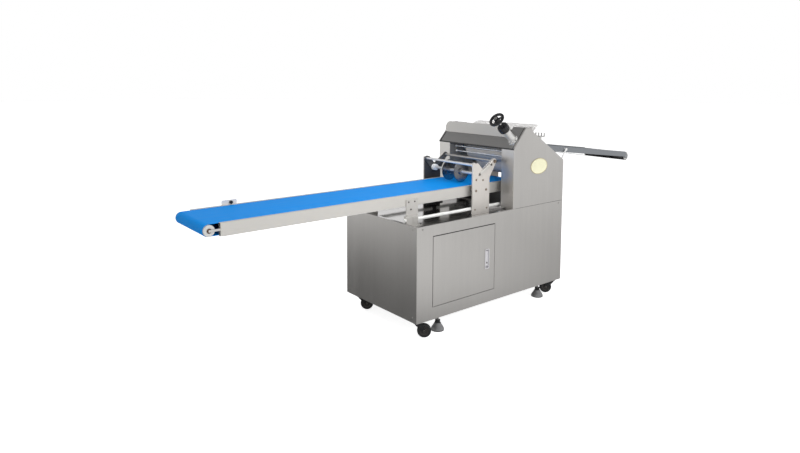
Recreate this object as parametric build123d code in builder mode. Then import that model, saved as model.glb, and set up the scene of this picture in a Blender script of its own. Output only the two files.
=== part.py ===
from build123d import *
import os
from math import atan2, cos, degrees, pi, radians, sin, tan

# Dough divider: a press-roller head on a wheeled cabinet, fed by a short inclined belt,
# with disc cutters over a long discharge belt. Millimetres, +Z up, floor at Z = 0,
# +X from the discharge end to the infeed end, -Y is the side with the cabinet door.
os.makedirs("parts", exist_ok=True)

# Cabinet
cabinet_length = 1420
cabinet_width = 750
cabinet_height = 600
ground_clearance = 108
discharge_reach = 1245
infeed_reach = 1157
sheet = 2
corner_bend = 3
pan_rim = 18
pan_depth = 28
pan_corner = 12
deck_inset = 1.4
vent_length = 110
vent_width = 7
vent_pitch = 22
vent_rows = 7
vent_station = 1050

# Angle-iron base frame and floor
angle_leg = 40
angle_wall = 4
floor_sheet = 3
floor_fit = 0.5

# Door and its flush latch
door_station = 130
door_width = 560
door_bottom = 78
door_height = 448
door_depth = 18
door_gap = 3
hinge_gap = 4
hinge_inset = 6
hinge_pin_radius = 4
jamb_depth = 24
jamb_wall = 3
latch_station = 615
latch_height = 298
latch_width = 40
latch_length = 133
latch_proud = 3
latch_tray_depth = 16
latch_border = 4
latch_wall = 2
latch_pin_radius = 2
handle_gap = 1
handle_thickness = 4

# Tower outline, measured from the cabinet's discharge face and from the deck
tower_station = 868
tower_opening = 522
brow_height = 415
brow_run = 120
crest_height = 553
crest_length = 60
shoulder_run = 23
shoulder_drop = 33
tail_height = 300
plate_thickness = 15
plate_fit = 0.5
hood_lip = 5

# Press rollers, their gears and the sliding yoke
roller_radius = 75
roller_width = 360
roller_gap = 6.5
roller_depth = 160
roller_neck_radius = 28
journal_radius = 20
neck_end_gap = 8
yoke_travel = 10
yoke_width = 84
yoke_below = 45
yoke_above = 115
yoke_flange = 12
yoke_flange_lip = 10
yoke_bar_rise = 95
yoke_bar_radius = 12
slide_fit = 0.3
gear_module = 6
gear_teeth = 26
gear_face = 18
gear_start = 21
tooth_thickness = 8.6
bearing_flange_radius = 52
bearing_hub_radius = 32
bearing_flange = 9
bearing_length = 16
running_fit = 0.05

# Thickness adjuster: handwheel, counter and screw, square to the hood
spindle_inset = 50
spindle_up_hood = 70
screw_radius = 8
screw_below = 80
lug_length = 20
lug_half_width = 19
sleeve_flange_radius = 37
sleeve_flange = 7
sleeve_radius = 26
sleeve_length = 92
counter_radius = 39
counter_length = 78
counter_bevel = 9
wheel_centre = 229
wheel_rim_radius = 47
wheel_rim_section = 9.5
wheel_hub_radius = 19
wheel_hub_length = 34
wheel_spoke_radius = 7.5
wheel_spokes = 3

# Hopper on top of the tower
hopper_station = 923
hopper_lean = 5
hopper_rise = 12
hopper_near = 275
hopper_far = 365
hopper_corner = 58
hopper_rear_corner = 60
hopper_rear_foot = 1175
hopper_rear_bend = 1188
hopper_rear_tip = 1240
hopper_rear_foot_drop = 91
hopper_rear_bend_drop = 41
hopper_rear_rise = 7
chute_top_drop = 61
chute_end_station = 1052
chute_end_drop = 111
hopper_end_drop = 14
hopper_fit = 0.5

# Finger guard over the infeed
guard_rod_radius = 4
guard_pitch = 26
guard_rods = 20
guard_start = 1190
guard_end = 1352
guard_height = 466
guard_upturn = 25
guard_bar_width = 14
guard_bar_height = 6
guard_bracket_start = 1234
guard_bracket_end = 1302
guard_bracket_foot = 355
guard_bracket_thickness = 3
guard_front_bar = 1200

# Belts and conveyors
belt_width = 370
belt_thickness = 3
belt_height = 165
belt_roller_radius = 30
belt_fit = 0.3
belt_rest = 0.1
drive_station = 1070
drive_journal_radius = 10
rail_height = 69
rail_width = 20
rail_wall = 2
rail_side_gap = 2
rail_rise = 1
rail_gap = 89
rail_end = 1031
bed_gap = 107
bed_end = 1025
bed_flange = 20
tension_bar = 4
tension_bar_height = 6
tension_eye_radius = 11
tension_block_length = 66
tension_fit = 0.5
tail_pin_radius = 6
tail_recess_radius = 13
tail_recess_depth = 12

# Posts on the deck pan and the guide bars between them
post_thickness = 8
post_start = 50
post_end = 144
post_top = 137
post_foot = 42
guide_bar_radius = 11
guide_bar_offset = 229
guide_bar_height = 12
guide_bar_start = 22
guide_bar_end = 885
clamp_length = 34
clamp_half_height = 18
clamp_half_width = 15

# Disc cutter
cutter_post_outer = 254
cutter_post_thickness = 10
cutter_post_start = 595
cutter_post_end = 757
cutter_post_front_top = 322
cutter_post_front_end = 647
cutter_post_valley = 702
cutter_post_valley_height = 262
cutter_post_waist = 215
cutter_post_foot = 30
standoff_radius = 9
standoff_inset = 32
tie_rod_radius = 9
tie_rod_station = 804
tie_rod_height = 324
tie_rod_ear = 20
arm_thickness = 8
arm_gap = 2
arm_end_radius = 18
lift_bar_station = 616
lift_bar_height = 310
cutter_station = 677
disc_radius = 75
disc_clearance = 1.5
disc_thickness = 3
disc_edge = 6
disc_spread = 117
disc_hub_radius = 23
disc_hub_length = 26
cutter_shaft_radius = 10
collar_radius = 19
collar_length = 22
collar_inset = 8

# Product sensor at the discharge end
sensor_gap = 318
sensor_plate_width = 92
sensor_plate_top = 192
sensor_plate_foot = 108
sensor_plate_thickness = 3
sensor_radius = 9
sensor_length = 42
sensor_height = 178.5
sensor_shift = 8

# Infeed conveyor, tilted down away from the tower
infeed_slope = 6.7
infeed_head_station = 1190
infeed_head_height = 417
infeed_belt_width = 400
infeed_belt_thickness = 2.5
infeed_head_radius = 15
infeed_tail_radius = 32.5
infeed_rail = 3
infeed_rail_above = 4
infeed_rail_below = 41
infeed_rail_lead = 14
infeed_bed_start = 30
infeed_bed_margin = 46
infeed_pin_radius = 6
infeed_lobe = 18
infeed_stub_radius = 10
infeed_stub_along = 22
infeed_stub_drop = 20
stay_radius = 5
stay_foot_height = 150
stay_top_station = 1672
stay_boss_radius = 11
stay_boss_length = 10
stay_foot_size = 34
stay_foot_thickness = 5

# Drive inside the cabinet
motor_station = 1145
gearbox_length = 150
gearbox_near = 95
gearbox_far = 245
gearbox_height = 200
motor_radius = 74
motor_length = 250
motor_fins = 18
fin_height = 7
fin_width = 4
output_shaft_radius = 12.5
motor_sprocket_radius = 36
roller_sprocket_radius = 60
belt_sprocket_radius = 27.5
sprocket_width = 6
chain_start = 44
chain_width = 8
chain_depth = 9
chain_fit = 0.4
chain_slot_margin = 12

# Electrical box behind the door
box_station = 210
box_length = 300
box_depth = 130
box_bottom = 235
box_height = 260

# Casters and levelling feet
caster_inset_x = 52
caster_inset_near = 48
caster_inset_far = 100
caster_pad = 96
caster_stem_radius = 6
caster_stem_length = 16
caster_trail = 40
caster_heading = 39
caster_wheel_radius = 44
caster_wheel_width = 28
caster_lift = 1.5
caster_axle_radius = 4
caster_tread_bevel = 5
caster_fork_plate = 3
caster_fork_gap = 1
caster_head_radius = 29
caster_head_top = 4
foot_station = 228
foot_far_station = 1222
foot_inset = 58
foot_tab_half = 30
foot_boss_radius = 16
foot_boss_height = 24
foot_stem_radius = 8
foot_pad_radius = 43
foot_pad_top_radius = 16
foot_pad_edge = 11
foot_pad_height = 42
foot_nut_height = 14
foot_nut_width = 30

# Places that follow from the driving dimensions
overall_length = discharge_reach + cabinet_length + infeed_reach
x_face = discharge_reach - overall_length / 2
deck_z = ground_clearance + cabinet_height
half_width = cabinet_width / 2
half_opening = tower_opening / 2
plate_outer = half_opening + plate_thickness
pan_floor = -pan_depth
frame_top = deck_z - pan_depth - sheet
rail_start = rail_gap - discharge_reach
bed_start = bed_gap - discharge_reach
sensor_station = sensor_gap - discharge_reach
rail_inner = belt_width / 2 + rail_side_gap
rail_outer = rail_inner + rail_width
rail_top = belt_height + rail_rise
rail_bottom = rail_top - rail_height
bed_top = belt_height - belt_thickness - belt_rest
belt_axis_height = belt_height - belt_thickness - belt_roller_radius
tail_station = -discharge_reach + belt_roller_radius + belt_thickness
cutter_height = belt_height + disc_radius + disc_clearance
hood_angle = atan2(crest_height - brow_height, brow_run)
infeed_tilt = radians(infeed_slope)


def x_at(station):
    """X of a place measured along the machine from the cabinet's discharge face."""
    return x_face + station


def z_at(height):
    """Z of a place measured up from the deck."""
    return deck_z + height


def side_plane(y):
    """Plane facing the door side at a given Y, drawn in X and Z."""
    return Plane(origin=(0, y, 0), x_dir=(1, 0, 0), z_dir=(0, -1, 0))


def block(x_span, y_span, z_span, mode=Mode.ADD):
    """Box between two places along each axis, in the part being built."""
    centre = [(low + high) / 2 for low, high in (x_span, y_span, z_span)]
    size = [high - low for low, high in (x_span, y_span, z_span)]
    with Locations(tuple(centre)):
        Box(*size, mode=mode)


def rod(x, z, radius, y_span, mode=Mode.ADD):
    """Round bar along Y, in the part being built."""
    with BuildSketch(side_plane(y_span[1])) as section:
        with Locations((x, z)):
            Circle(radius)
    extrude(section.sketch, amount=y_span[1] - y_span[0], mode=mode)


def outline(points, y_span, mode=Mode.ADD):
    """Plate with a side outline given in X and Z, in the part being built."""
    with BuildSketch(side_plane(y_span[1])) as section:
        with BuildLine():
            Polyline(*points, close=True)
        make_face()
    extrude(section.sketch, amount=y_span[1] - y_span[0], mode=mode)


def link(ends, y_span, plane=None, mode=Mode.ADD):
    """Plate round two or more circles, each given as X, Z and radius."""
    base = plane or side_plane(0)
    with BuildSketch(base.offset(-y_span[1])) as section:
        for x, z, radius in ends:
            with Locations((x, z)):
                Circle(radius)
        make_hull()
    extrude(section.sketch, amount=y_span[1] - y_span[0], mode=mode)


def bent_sheet(points, thickness, y_span, mode=Mode.ADD):
    """Sheet folded along a side line, its thickness on the left of the line."""
    with BuildSketch(side_plane(y_span[1])) as section:
        with BuildLine():
            path = Polyline(*points)
            offset(path, amount=thickness, side=Side.LEFT, kind=Kind.INTERSECTION)
        make_face()
    extrude(section.sketch, amount=y_span[1] - y_span[0], mode=mode)


def both_sides(low, high):
    """The same Y span on the near side and on the far side."""
    return ((-high, -low), (low, high))


def save(piece, name):
    """Label a finished piece and write it."""
    piece.part.label = name
    export_step(piece.part, f"parts/{name}.step")


# Side outline of the tower and the line of the adjuster through it
tower_front = x_at(tower_station)
tower_rear = x_at(cabinet_length)
brow = (tower_front, z_at(brow_height))
crest_front = (tower_front + brow_run, z_at(crest_height))
crest_rear = (crest_front[0] + crest_length, z_at(crest_height))
shoulder = (crest_rear[0] + shoulder_run, z_at(crest_height - shoulder_drop))
tower_points = [
    (tower_front, deck_z),
    brow,
    crest_front,
    crest_rear,
    shoulder,
    (tower_rear, z_at(tail_height)),
    (tower_rear, deck_z),
]
up_hood = (cos(hood_angle), sin(hood_angle))
off_hood = (-sin(hood_angle), cos(hood_angle))
spindle_y = -half_width + spindle_inset
spindle_foot = (
    brow[0] + spindle_up_hood * up_hood[0],
    brow[1] + spindle_up_hood * up_hood[1],
)


def off_spindle(distance):
    """Place on the adjuster's line, by its distance out of the tower's slope."""
    return (
        spindle_foot[0] + distance * off_hood[0],
        spindle_foot[1] + distance * off_hood[1],
    )


upper_axis = off_spindle(-roller_depth)
lower_axis = off_spindle(-roller_depth - 2 * roller_radius - roller_gap)
spindle_plane = Plane(
    origin=(spindle_foot[0], spindle_y, spindle_foot[1]),
    x_dir=(up_hood[0], 0, up_hood[1]),
    z_dir=(off_hood[0], 0, off_hood[1]),
)


def tower_outline(y, inset):
    """The tower's side outline, drawn in on every edge but the foot."""
    with BuildSketch(side_plane(y)) as section:
        with BuildLine():
            Polyline(*tower_points, close=True)
        make_face()
        if inset:
            offset(amount=-inset, kind=Kind.INTERSECTION)
            with Locations(((tower_front + tower_rear) / 2, deck_z)):
                Rectangle(
                    tower_rear - tower_front - 2 * inset,
                    2 * inset,
                    align=(Align.CENTER, Align.MIN),
                )
    return section.sketch


# Base frame: two angle-iron rings, corner posts, tower risers, caster pads and foot bosses
frame_length = cabinet_length - 2 * sheet
frame_width = cabinet_width - 2 * sheet
frame_x = x_at(cabinet_length / 2)
caster_places = {
    "near_left": (x_at(caster_inset_x), -half_width + caster_inset_near, -caster_heading),
    "far_left": (x_at(caster_inset_x), half_width - caster_inset_far, -caster_heading),
    "near_right": (
        x_at(cabinet_length - caster_inset_x),
        -half_width + caster_inset_near,
        180 - caster_heading,
    ),
    "far_right": (
        x_at(cabinet_length - caster_inset_x),
        half_width - caster_inset_far,
        180 - caster_heading,
    ),
}
foot_places = {
    "near_left": (x_at(foot_station), -half_width + foot_inset),
    "far_left": (x_at(foot_station), half_width - foot_inset),
    "near_right": (x_at(foot_far_station), -half_width + foot_inset),
    "far_right": (x_at(foot_far_station), half_width - foot_inset),
}
riser_rear = x_at(cabinet_length - sheet - angle_wall)

with BuildPart() as base_frame:
    for ring_z, leg_z in (
        (ground_clearance, ground_clearance),
        (frame_top - angle_leg, frame_top - angle_wall),
    ):
        with BuildSketch(Plane.XY.offset(ring_z)):
            with Locations((frame_x, 0)):
                Rectangle(frame_length, frame_width)
                Rectangle(
                    frame_length - 2 * angle_wall,
                    frame_width - 2 * angle_wall,
                    mode=Mode.SUBTRACT,
                )
        extrude(amount=angle_leg)
        with BuildSketch(Plane.XY.offset(leg_z)):
            with Locations((frame_x, 0)):
                Rectangle(frame_length, frame_width)
                Rectangle(
                    frame_length - 2 * angle_leg,
                    frame_width - 2 * angle_leg,
                    mode=Mode.SUBTRACT,
                )
        extrude(amount=angle_wall)
    with BuildSketch(Plane.XY.offset(ground_clearance)):
        with Locations((frame_x, 0)):
            Rectangle(frame_length, frame_width)
            Rectangle(
                frame_length - 2 * angle_wall,
                frame_width - 2 * angle_wall,
                mode=Mode.SUBTRACT,
            )
            Rectangle(frame_length - 2 * angle_leg, frame_width, mode=Mode.SUBTRACT)
            Rectangle(frame_length, frame_width - 2 * angle_leg, mode=Mode.SUBTRACT)
    extrude(amount=frame_top - ground_clearance)
    block(
        (tower_front, tower_front + angle_leg),
        (-frame_width / 2, frame_width / 2),
        (frame_top - angle_wall, frame_top),
    )
    block(
        (tower_front, tower_front + angle_wall),
        (-frame_width / 2, frame_width / 2),
        (frame_top - angle_leg, frame_top),
    )
    for riser_span in both_sides(half_opening, plate_outer):
        block((tower_front, riser_rear), riser_span, (frame_top - angle_wall, deck_z - sheet))
    for place_x, place_y, heading in caster_places.values():
        edge_x = x_at(sheet) if place_x < frame_x else x_at(cabinet_length - sheet)
        edge_y = -frame_width / 2 if place_y < 0 else frame_width / 2
        reach_x = place_x + caster_pad / 2 if place_x < frame_x else place_x - caster_pad / 2
        reach_y = place_y + caster_pad / 2 if place_y < 0 else place_y - caster_pad / 2
        block(
            sorted((edge_x, reach_x)),
            sorted((edge_y, reach_y)),
            (ground_clearance, ground_clearance + angle_wall),
        )
        with Locations((place_x, place_y, ground_clearance + angle_wall)):
            Cylinder(
                caster_stem_radius,
                caster_stem_length + angle_wall,
                align=(Align.CENTER, Align.CENTER, Align.MAX),
            )
    for place_x, place_y in foot_places.values():
        edge_y = -frame_width / 2 if place_y < 0 else frame_width / 2
        reach_y = place_y + foot_tab_half if place_y < 0 else place_y - foot_tab_half
        block(
            (place_x - foot_tab_half, place_x + foot_tab_half),
            sorted((edge_y, reach_y)),
            (ground_clearance, ground_clearance + angle_wall),
        )
        with Locations((place_x, place_y, ground_clearance)):
            Cylinder(
                foot_boss_radius,
                foot_boss_height,
                align=(Align.CENTER, Align.CENTER, Align.MIN),
            )
            Cylinder(
                foot_stem_radius + running_fit,
                2 * foot_boss_height,
                align=(Align.CENTER, Align.CENTER, Align.CENTER),
                mode=Mode.SUBTRACT,
            )
save(base_frame, "base_frame")

# Cabinet shell: folded sheet with the door opening, its jamb and far-side vents
door_x = x_at(door_station)
door_z = ground_clearance + door_bottom
opening_x = (door_x, door_x + door_width)
opening_z = (door_z, door_z + door_height)
jamb_y = (-half_width, -half_width + jamb_depth)
pin_x = door_x + hinge_gap + hinge_inset
pin_y = -half_width + hinge_inset

with BuildPart() as cabinet_shell:
    with BuildSketch(Plane.XY.offset(ground_clearance)):
        with Locations((frame_x, 0)):
            RectangleRounded(cabinet_length, cabinet_width, corner_bend)
            Rectangle(frame_length, frame_width, mode=Mode.SUBTRACT)
    extrude(amount=cabinet_height - sheet)
    block(
        (opening_x[0] - jamb_wall, opening_x[1] + jamb_wall),
        jamb_y,
        (opening_z[0] - jamb_wall, opening_z[1] + jamb_wall),
    )
    block(
        opening_x,
        (-half_width - jamb_depth, -half_width + 2 * jamb_depth),
        opening_z,
        mode=Mode.SUBTRACT,
    )
    with Locations((pin_x, pin_y, (opening_z[0] + opening_z[1]) / 2)):
        Cylinder(
            hinge_pin_radius + running_fit,
            door_height + 4 * jamb_wall,
            mode=Mode.SUBTRACT,
        )
    with BuildSketch(side_plane(half_width)):
        with Locations((x_at(vent_station), ground_clearance + cabinet_height / 2)):
            with GridLocations(2 * vent_length, vent_pitch, 2, vent_rows):
                Rectangle(vent_length, vent_width)
    extrude(amount=sheet, mode=Mode.SUBTRACT)
save(cabinet_shell, "cabinet_shell")

# Top deck with its drip pan in front of the tower, and a slot for the drive chain
chain_y = (plate_outer + chain_start, plate_outer + chain_start + chain_width)
chain_x = (
    x_at(drive_station) - belt_sprocket_radius - chain_depth - chain_slot_margin,
    lower_axis[0] + roller_sprocket_radius + chain_depth + chain_slot_margin,
)
pan_x = (x_at(pan_rim), x_at(tower_station - pan_rim))
pan_width = cabinet_width - 2 * pan_rim

with BuildPart() as top_deck:
    with BuildSketch(Plane.XY.offset(deck_z - sheet)):
        with Locations((frame_x, 0)):
            RectangleRounded(cabinet_length - 2 * deck_inset, cabinet_width - 2 * deck_inset, corner_bend)
    extrude(amount=sheet)
    with BuildSketch(Plane.XY.offset(deck_z - pan_depth - sheet)):
        with Locations(((pan_x[0] + pan_x[1]) / 2, 0)):
            RectangleRounded(pan_x[1] - pan_x[0], pan_width, pan_corner)
    extrude(amount=pan_depth + sheet)
    with BuildSketch(Plane.XY.offset(deck_z - pan_depth)):
        with Locations(((pan_x[0] + pan_x[1]) / 2, 0)):
            RectangleRounded(
                pan_x[1] - pan_x[0] - 2 * sheet,
                pan_width - 2 * sheet,
                pan_corner - sheet,
            )
    extrude(amount=pan_depth, mode=Mode.SUBTRACT)
    block(
        chain_x,
        (chain_y[0] - chain_slot_margin / 2, chain_y[1] + chain_slot_margin / 2),
        (deck_z - 2 * sheet, deck_z + sheet),
        mode=Mode.SUBTRACT,
    )
save(top_deck, "top_deck")

# Floor plate lying in the bottom ring
with BuildPart() as floor_plate:
    with BuildSketch(Plane.XY.offset(ground_clearance + angle_wall)):
        with Locations((frame_x, 0)):
            Rectangle(
                frame_length - 2 * angle_wall - 2 * floor_fit,
                frame_width - 2 * angle_wall - 2 * floor_fit,
            )
        for place_x, place_y in foot_places.values():
            with Locations((place_x, place_y)):
                Circle(foot_boss_radius + floor_fit, mode=Mode.SUBTRACT)
    extrude(amount=floor_sheet)
save(floor_plate, "floor_plate")

# Door: a folded pan with hinge pins at its near-front edge and a cut for the latch
leaf_x = (opening_x[0] + hinge_gap, opening_x[1] - door_gap)
leaf_z = (opening_z[0] + door_gap, opening_z[1] - door_gap)
latch_x = x_at(latch_station)
latch_z = ground_clearance + latch_height
tray_width = latch_width - 2 * latch_border
tray_length = latch_length - 2 * latch_border
tray_y = -half_width + latch_tray_depth

with BuildPart() as door:
    block(leaf_x, (-half_width, -half_width + door_depth), leaf_z)
    block(
        (leaf_x[0] + sheet, leaf_x[1] - sheet),
        (-half_width + sheet, -half_width + 2 * door_depth),
        (leaf_z[0] + sheet, leaf_z[1] - sheet),
        mode=Mode.SUBTRACT,
    )
    for pin_z in (
        (opening_z[0] - jamb_wall, leaf_z[0] + door_depth),
        (leaf_z[1] - door_depth, opening_z[1] + jamb_wall),
    ):
        with Locations((pin_x, pin_y, pin_z[0])):
            Cylinder(
                hinge_pin_radius,
                pin_z[1] - pin_z[0],
                align=(Align.CENTER, Align.CENTER, Align.MIN),
            )
    block(
        (latch_x - tray_width / 2 - latch_wall / 4, latch_x + tray_width / 2 + latch_wall / 4),
        (-half_width - sheet, -half_width + 2 * sheet),
        (latch_z - tray_length / 2 - latch_wall / 4, latch_z + tray_length / 2 + latch_wall / 4),
        mode=Mode.SUBTRACT,
    )
save(door, "door")

# Latch: a flush tray in the door, and a handle that swings out of it on a cross pin
handle_pin_z = latch_z + tray_length / 2 - 3 * latch_border
handle_pin_y = -half_width + latch_tray_depth / 3
handle_x = (
    latch_x - tray_width / 2 + latch_wall + handle_gap,
    latch_x + tray_width / 2 - latch_wall - handle_gap,
)

with BuildPart() as latch_housing:
    with BuildSketch(side_plane(-half_width)):
        with Locations((latch_x, latch_z)):
            RectangleRounded(latch_width, latch_length, latch_border)
    extrude(amount=latch_proud)
    block(
        (latch_x - tray_width / 2, latch_x + tray_width / 2),
        (-half_width, tray_y),
        (latch_z - tray_length / 2, latch_z + tray_length / 2),
    )
    block(
        (latch_x - tray_width / 2 + latch_wall, latch_x + tray_width / 2 - latch_wall),
        (-half_width - 2 * latch_proud, tray_y - latch_wall),
        (latch_z - tray_length / 2 + latch_wall, latch_z + tray_length / 2 - latch_wall),
        mode=Mode.SUBTRACT,
    )
    with Locations(Location((latch_x, handle_pin_y, handle_pin_z), (0, 90, 0))):
        Cylinder(latch_pin_radius + running_fit, latch_width, mode=Mode.SUBTRACT)
save(latch_housing, "latch_housing")

with BuildPart() as latch_handle:
    block(
        handle_x,
        (handle_pin_y - handle_thickness, handle_pin_y),
        (latch_z - tray_length / 2 + 4 * latch_border, handle_pin_z),
    )
    with Locations(Location((latch_x, handle_pin_y, handle_pin_z), (0, 90, 0))):
        Cylinder(handle_thickness, handle_x[1] - handle_x[0])
        Cylinder(latch_pin_radius, tray_width)
save(latch_handle, "latch_handle")

# Tower: side covers over thick frame plates
near_cover_y = (-half_width, -half_opening)
far_cover_y = (half_opening, half_width)

with BuildPart() as near_housing_cover:
    extrude(tower_outline(near_cover_y[1], 0), amount=near_cover_y[1] - near_cover_y[0])
    fillet(
        near_housing_cover.faces().sort_by(Axis.Y)[0].edges().filter_by_position(
            Axis.Z, deck_z + sheet, z_at(2 * crest_height)
        ),
        corner_bend,
    )
    extrude(
        tower_outline(near_cover_y[1], sheet),
        amount=near_cover_y[1] - near_cover_y[0] - sheet,
        mode=Mode.SUBTRACT,
    )
    with BuildSketch(spindle_plane.offset(-2 * sheet)):
        Circle(screw_radius + sheet)
    extrude(amount=4 * sheet, mode=Mode.SUBTRACT)
save(near_housing_cover, "near_housing_cover")

with BuildPart() as far_housing_cover:
    extrude(tower_outline(far_cover_y[1], 0), amount=far_cover_y[1] - far_cover_y[0])
    fillet(
        far_housing_cover.faces().sort_by(Axis.Y)[-1].edges().filter_by_position(
            Axis.Z, deck_z + sheet, z_at(2 * crest_height)
        ),
        corner_bend,
    )
    extrude(
        tower_outline(far_cover_y[1] - sheet, sheet),
        amount=far_cover_y[1] - far_cover_y[0] - sheet,
        mode=Mode.SUBTRACT,
    )
save(far_housing_cover, "far_housing_cover")

# Frame plates: each has a slot for the yoke, a lower journal hole and the conveyor holes
yoke_middle = off_spindle(-roller_depth + (yoke_above - yoke_below) / 2)
yoke_length = yoke_above + yoke_below
slot_middle = off_spindle(-roller_depth + (yoke_above - yoke_below + yoke_travel) / 2)
slot_turn = degrees(hood_angle) + 90
infeed_head = (x_at(infeed_head_station), z_at(infeed_head_height))
infeed_along = (cos(infeed_tilt), -sin(infeed_tilt))
infeed_up = (sin(infeed_tilt), cos(infeed_tilt))


def on_infeed(along, up):
    """X and Z of a place on the tilted infeed, from the top of its head end."""
    return (
        infeed_head[0] + along * infeed_along[0] + up * infeed_up[0],
        infeed_head[1] + along * infeed_along[1] + up * infeed_up[1],
    )


stub_place = on_infeed(infeed_stub_along, -infeed_stub_drop)

for name, plate_y in (
    ("near_frame_plate", (-plate_outer, -half_opening)),
    ("far_frame_plate", (half_opening, plate_outer)),
):
    with BuildPart() as frame_plate:
        extrude(tower_outline(plate_y[1], sheet + plate_fit), amount=plate_thickness)
        with BuildSketch(side_plane(plate_y[1])):
            with Locations(slot_middle):
                Rectangle(
                    yoke_length + yoke_travel + 4 * slide_fit,
                    yoke_width + 2 * slide_fit,
                    rotation=slot_turn,
                )
            with Locations(lower_axis):
                Circle(journal_radius + 2 * slide_fit)
            with Locations(stub_place):
                Circle(infeed_stub_radius + running_fit)
            with Locations((x_at(drive_station), z_at(belt_axis_height))):
                Circle(drive_journal_radius + running_fit)
        extrude(amount=plate_thickness, mode=Mode.SUBTRACT)
    save(frame_plate, name)

# Hood: one sheet from the lip over the opening, up the slope and along the crest
throat_front = x_at(hopper_station) + 2 * sheet
with BuildPart() as hood:
    bent_sheet(
        [(tower_front, brow[1] - hood_lip), brow, crest_front, crest_rear],
        sheet,
        (-half_width, half_width),
    )
    block(
        (throat_front, crest_rear[0] + sheet),
        (-half_opening, half_opening),
        (brow[1], z_at(2 * crest_height)),
        mode=Mode.SUBTRACT,
    )
    with BuildSketch(spindle_plane.offset(-sheet)):
        Circle(screw_radius + sheet)
    extrude(amount=4 * sheet, mode=Mode.SUBTRACT)
save(hood, "hood")

# Hopper: front plate with a rounded far corner, chute over the upper roller, ends and rear flare
hopper_run = hopper_station + sheet - tower_station
hood_at_hopper = brow[1] + hopper_run * tan(hood_angle) + sheet / cos(hood_angle)
front_foot = (x_at(hopper_station), hood_at_hopper)
front_tip = (x_at(hopper_station - hopper_lean), z_at(crest_height + hopper_rise))
chute_top = (x_at(hopper_station), z_at(crest_height - chute_top_drop))
chute_end = (x_at(chute_end_station), z_at(crest_height - chute_end_drop))
rear_foot = (x_at(hopper_rear_foot), z_at(crest_height - hopper_rear_foot_drop))
rear_bend = (x_at(hopper_rear_bend), z_at(crest_height - hopper_rear_bend_drop))
rear_tip = (x_at(hopper_rear_tip), z_at(crest_height + hopper_rear_rise))
throat_y = (-half_opening + hopper_fit, half_opening - hopper_fit)


def hopper_sheet(foot, tip, corner):
    """Flat sheet across the hopper between two side places, its far top corner rounded."""
    rise = Vector(tip[0] - foot[0], 0, tip[1] - foot[1])
    along = rise.normalized()
    plane = Plane(origin=(foot[0], 0, foot[1]), x_dir=(0, 1, 0), z_dir=(along.Z, 0, -along.X))
    with BuildSketch(plane) as section:
        with Locations(((hopper_far - hopper_near) / 2, 0)):
            Rectangle(hopper_far + hopper_near, rise.length, align=(Align.CENTER, Align.MIN))
        far_top = section.vertices().sort_by(Axis.X)[-2:].sort_by(Axis.Y)[-1:]
        fillet(far_top, corner)
    extrude(section.sketch, amount=sheet)


with BuildPart() as hopper:
    hopper_sheet(front_foot, front_tip, hopper_corner)
    hopper_sheet(rear_bend, rear_tip, hopper_rear_corner)
    bent_sheet([chute_top, chute_end], sheet, throat_y)
    bent_sheet([rear_bend, rear_foot], sheet, throat_y)
    for end_span in ((throat_y[0], throat_y[0] + sheet), (throat_y[1] - sheet, throat_y[1])):
        outline(
            [
                (chute_top[0], chute_top[1]),
                (chute_top[0], crest_front[1] - hopper_end_drop),
                rear_bend,
                rear_foot,
                chute_end,
            ],
            end_span,
        )
save(hopper, "hopper")

# Finger guard: upturned rods welded to two cross bars, on a bracket at each frame plate
guard_z = z_at(guard_height)
guard_half = guard_pitch * (guard_rods - 1) / 2
guard_bar_z = (
    guard_z - guard_rod_radius - guard_bar_height + sheet / 2,
    guard_z - guard_rod_radius + sheet / 2,
)
guard_rear_bar = (guard_bracket_start + guard_bracket_end) / 2

with BuildPart() as finger_guard:
    for index in range(guard_rods):
        rod_y = -guard_half + index * guard_pitch
        with BuildLine() as guard_path:
            Polyline(
                (x_at(guard_start), rod_y, guard_z),
                (x_at(guard_end), rod_y, guard_z),
                (x_at(guard_end), rod_y, guard_z + guard_upturn),
            )
        with BuildSketch(Plane(origin=(x_at(guard_start), rod_y, guard_z), z_dir=(1, 0, 0))):
            RegularPolygon(guard_rod_radius, 8)
        sweep(path=guard_path.line, transition=Transition.RIGHT)
    for bar_station in (guard_front_bar, guard_rear_bar):
        block(
            (x_at(bar_station) - guard_bar_width / 2, x_at(bar_station) + guard_bar_width / 2),
            (-half_opening + hopper_fit, half_opening - hopper_fit),
            guard_bar_z,
        )
    for bracket_span in both_sides(
        half_opening - hopper_fit - guard_bracket_thickness, half_opening - hopper_fit
    ):
        block(
            (x_at(guard_bracket_start), x_at(guard_bracket_end)),
            bracket_span,
            (z_at(guard_bracket_foot), guard_bar_z[1]),
        )
save(finger_guard, "finger_guard")

# Flanged bearings of the lower roller, one on the outside of each frame plate
with BuildPart() as roller_bearings:
    for depth, radius in (
        (bearing_flange, bearing_flange_radius),
        (bearing_length, bearing_hub_radius),
    ):
        for bearing_span in both_sides(plate_outer, plate_outer + depth):
            rod(*lower_axis, radius, bearing_span)
    rod(
        *lower_axis,
        journal_radius + running_fit,
        (-half_width, half_width),
        mode=Mode.SUBTRACT,
    )
save(roller_bearings, "roller_bearings")


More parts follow.
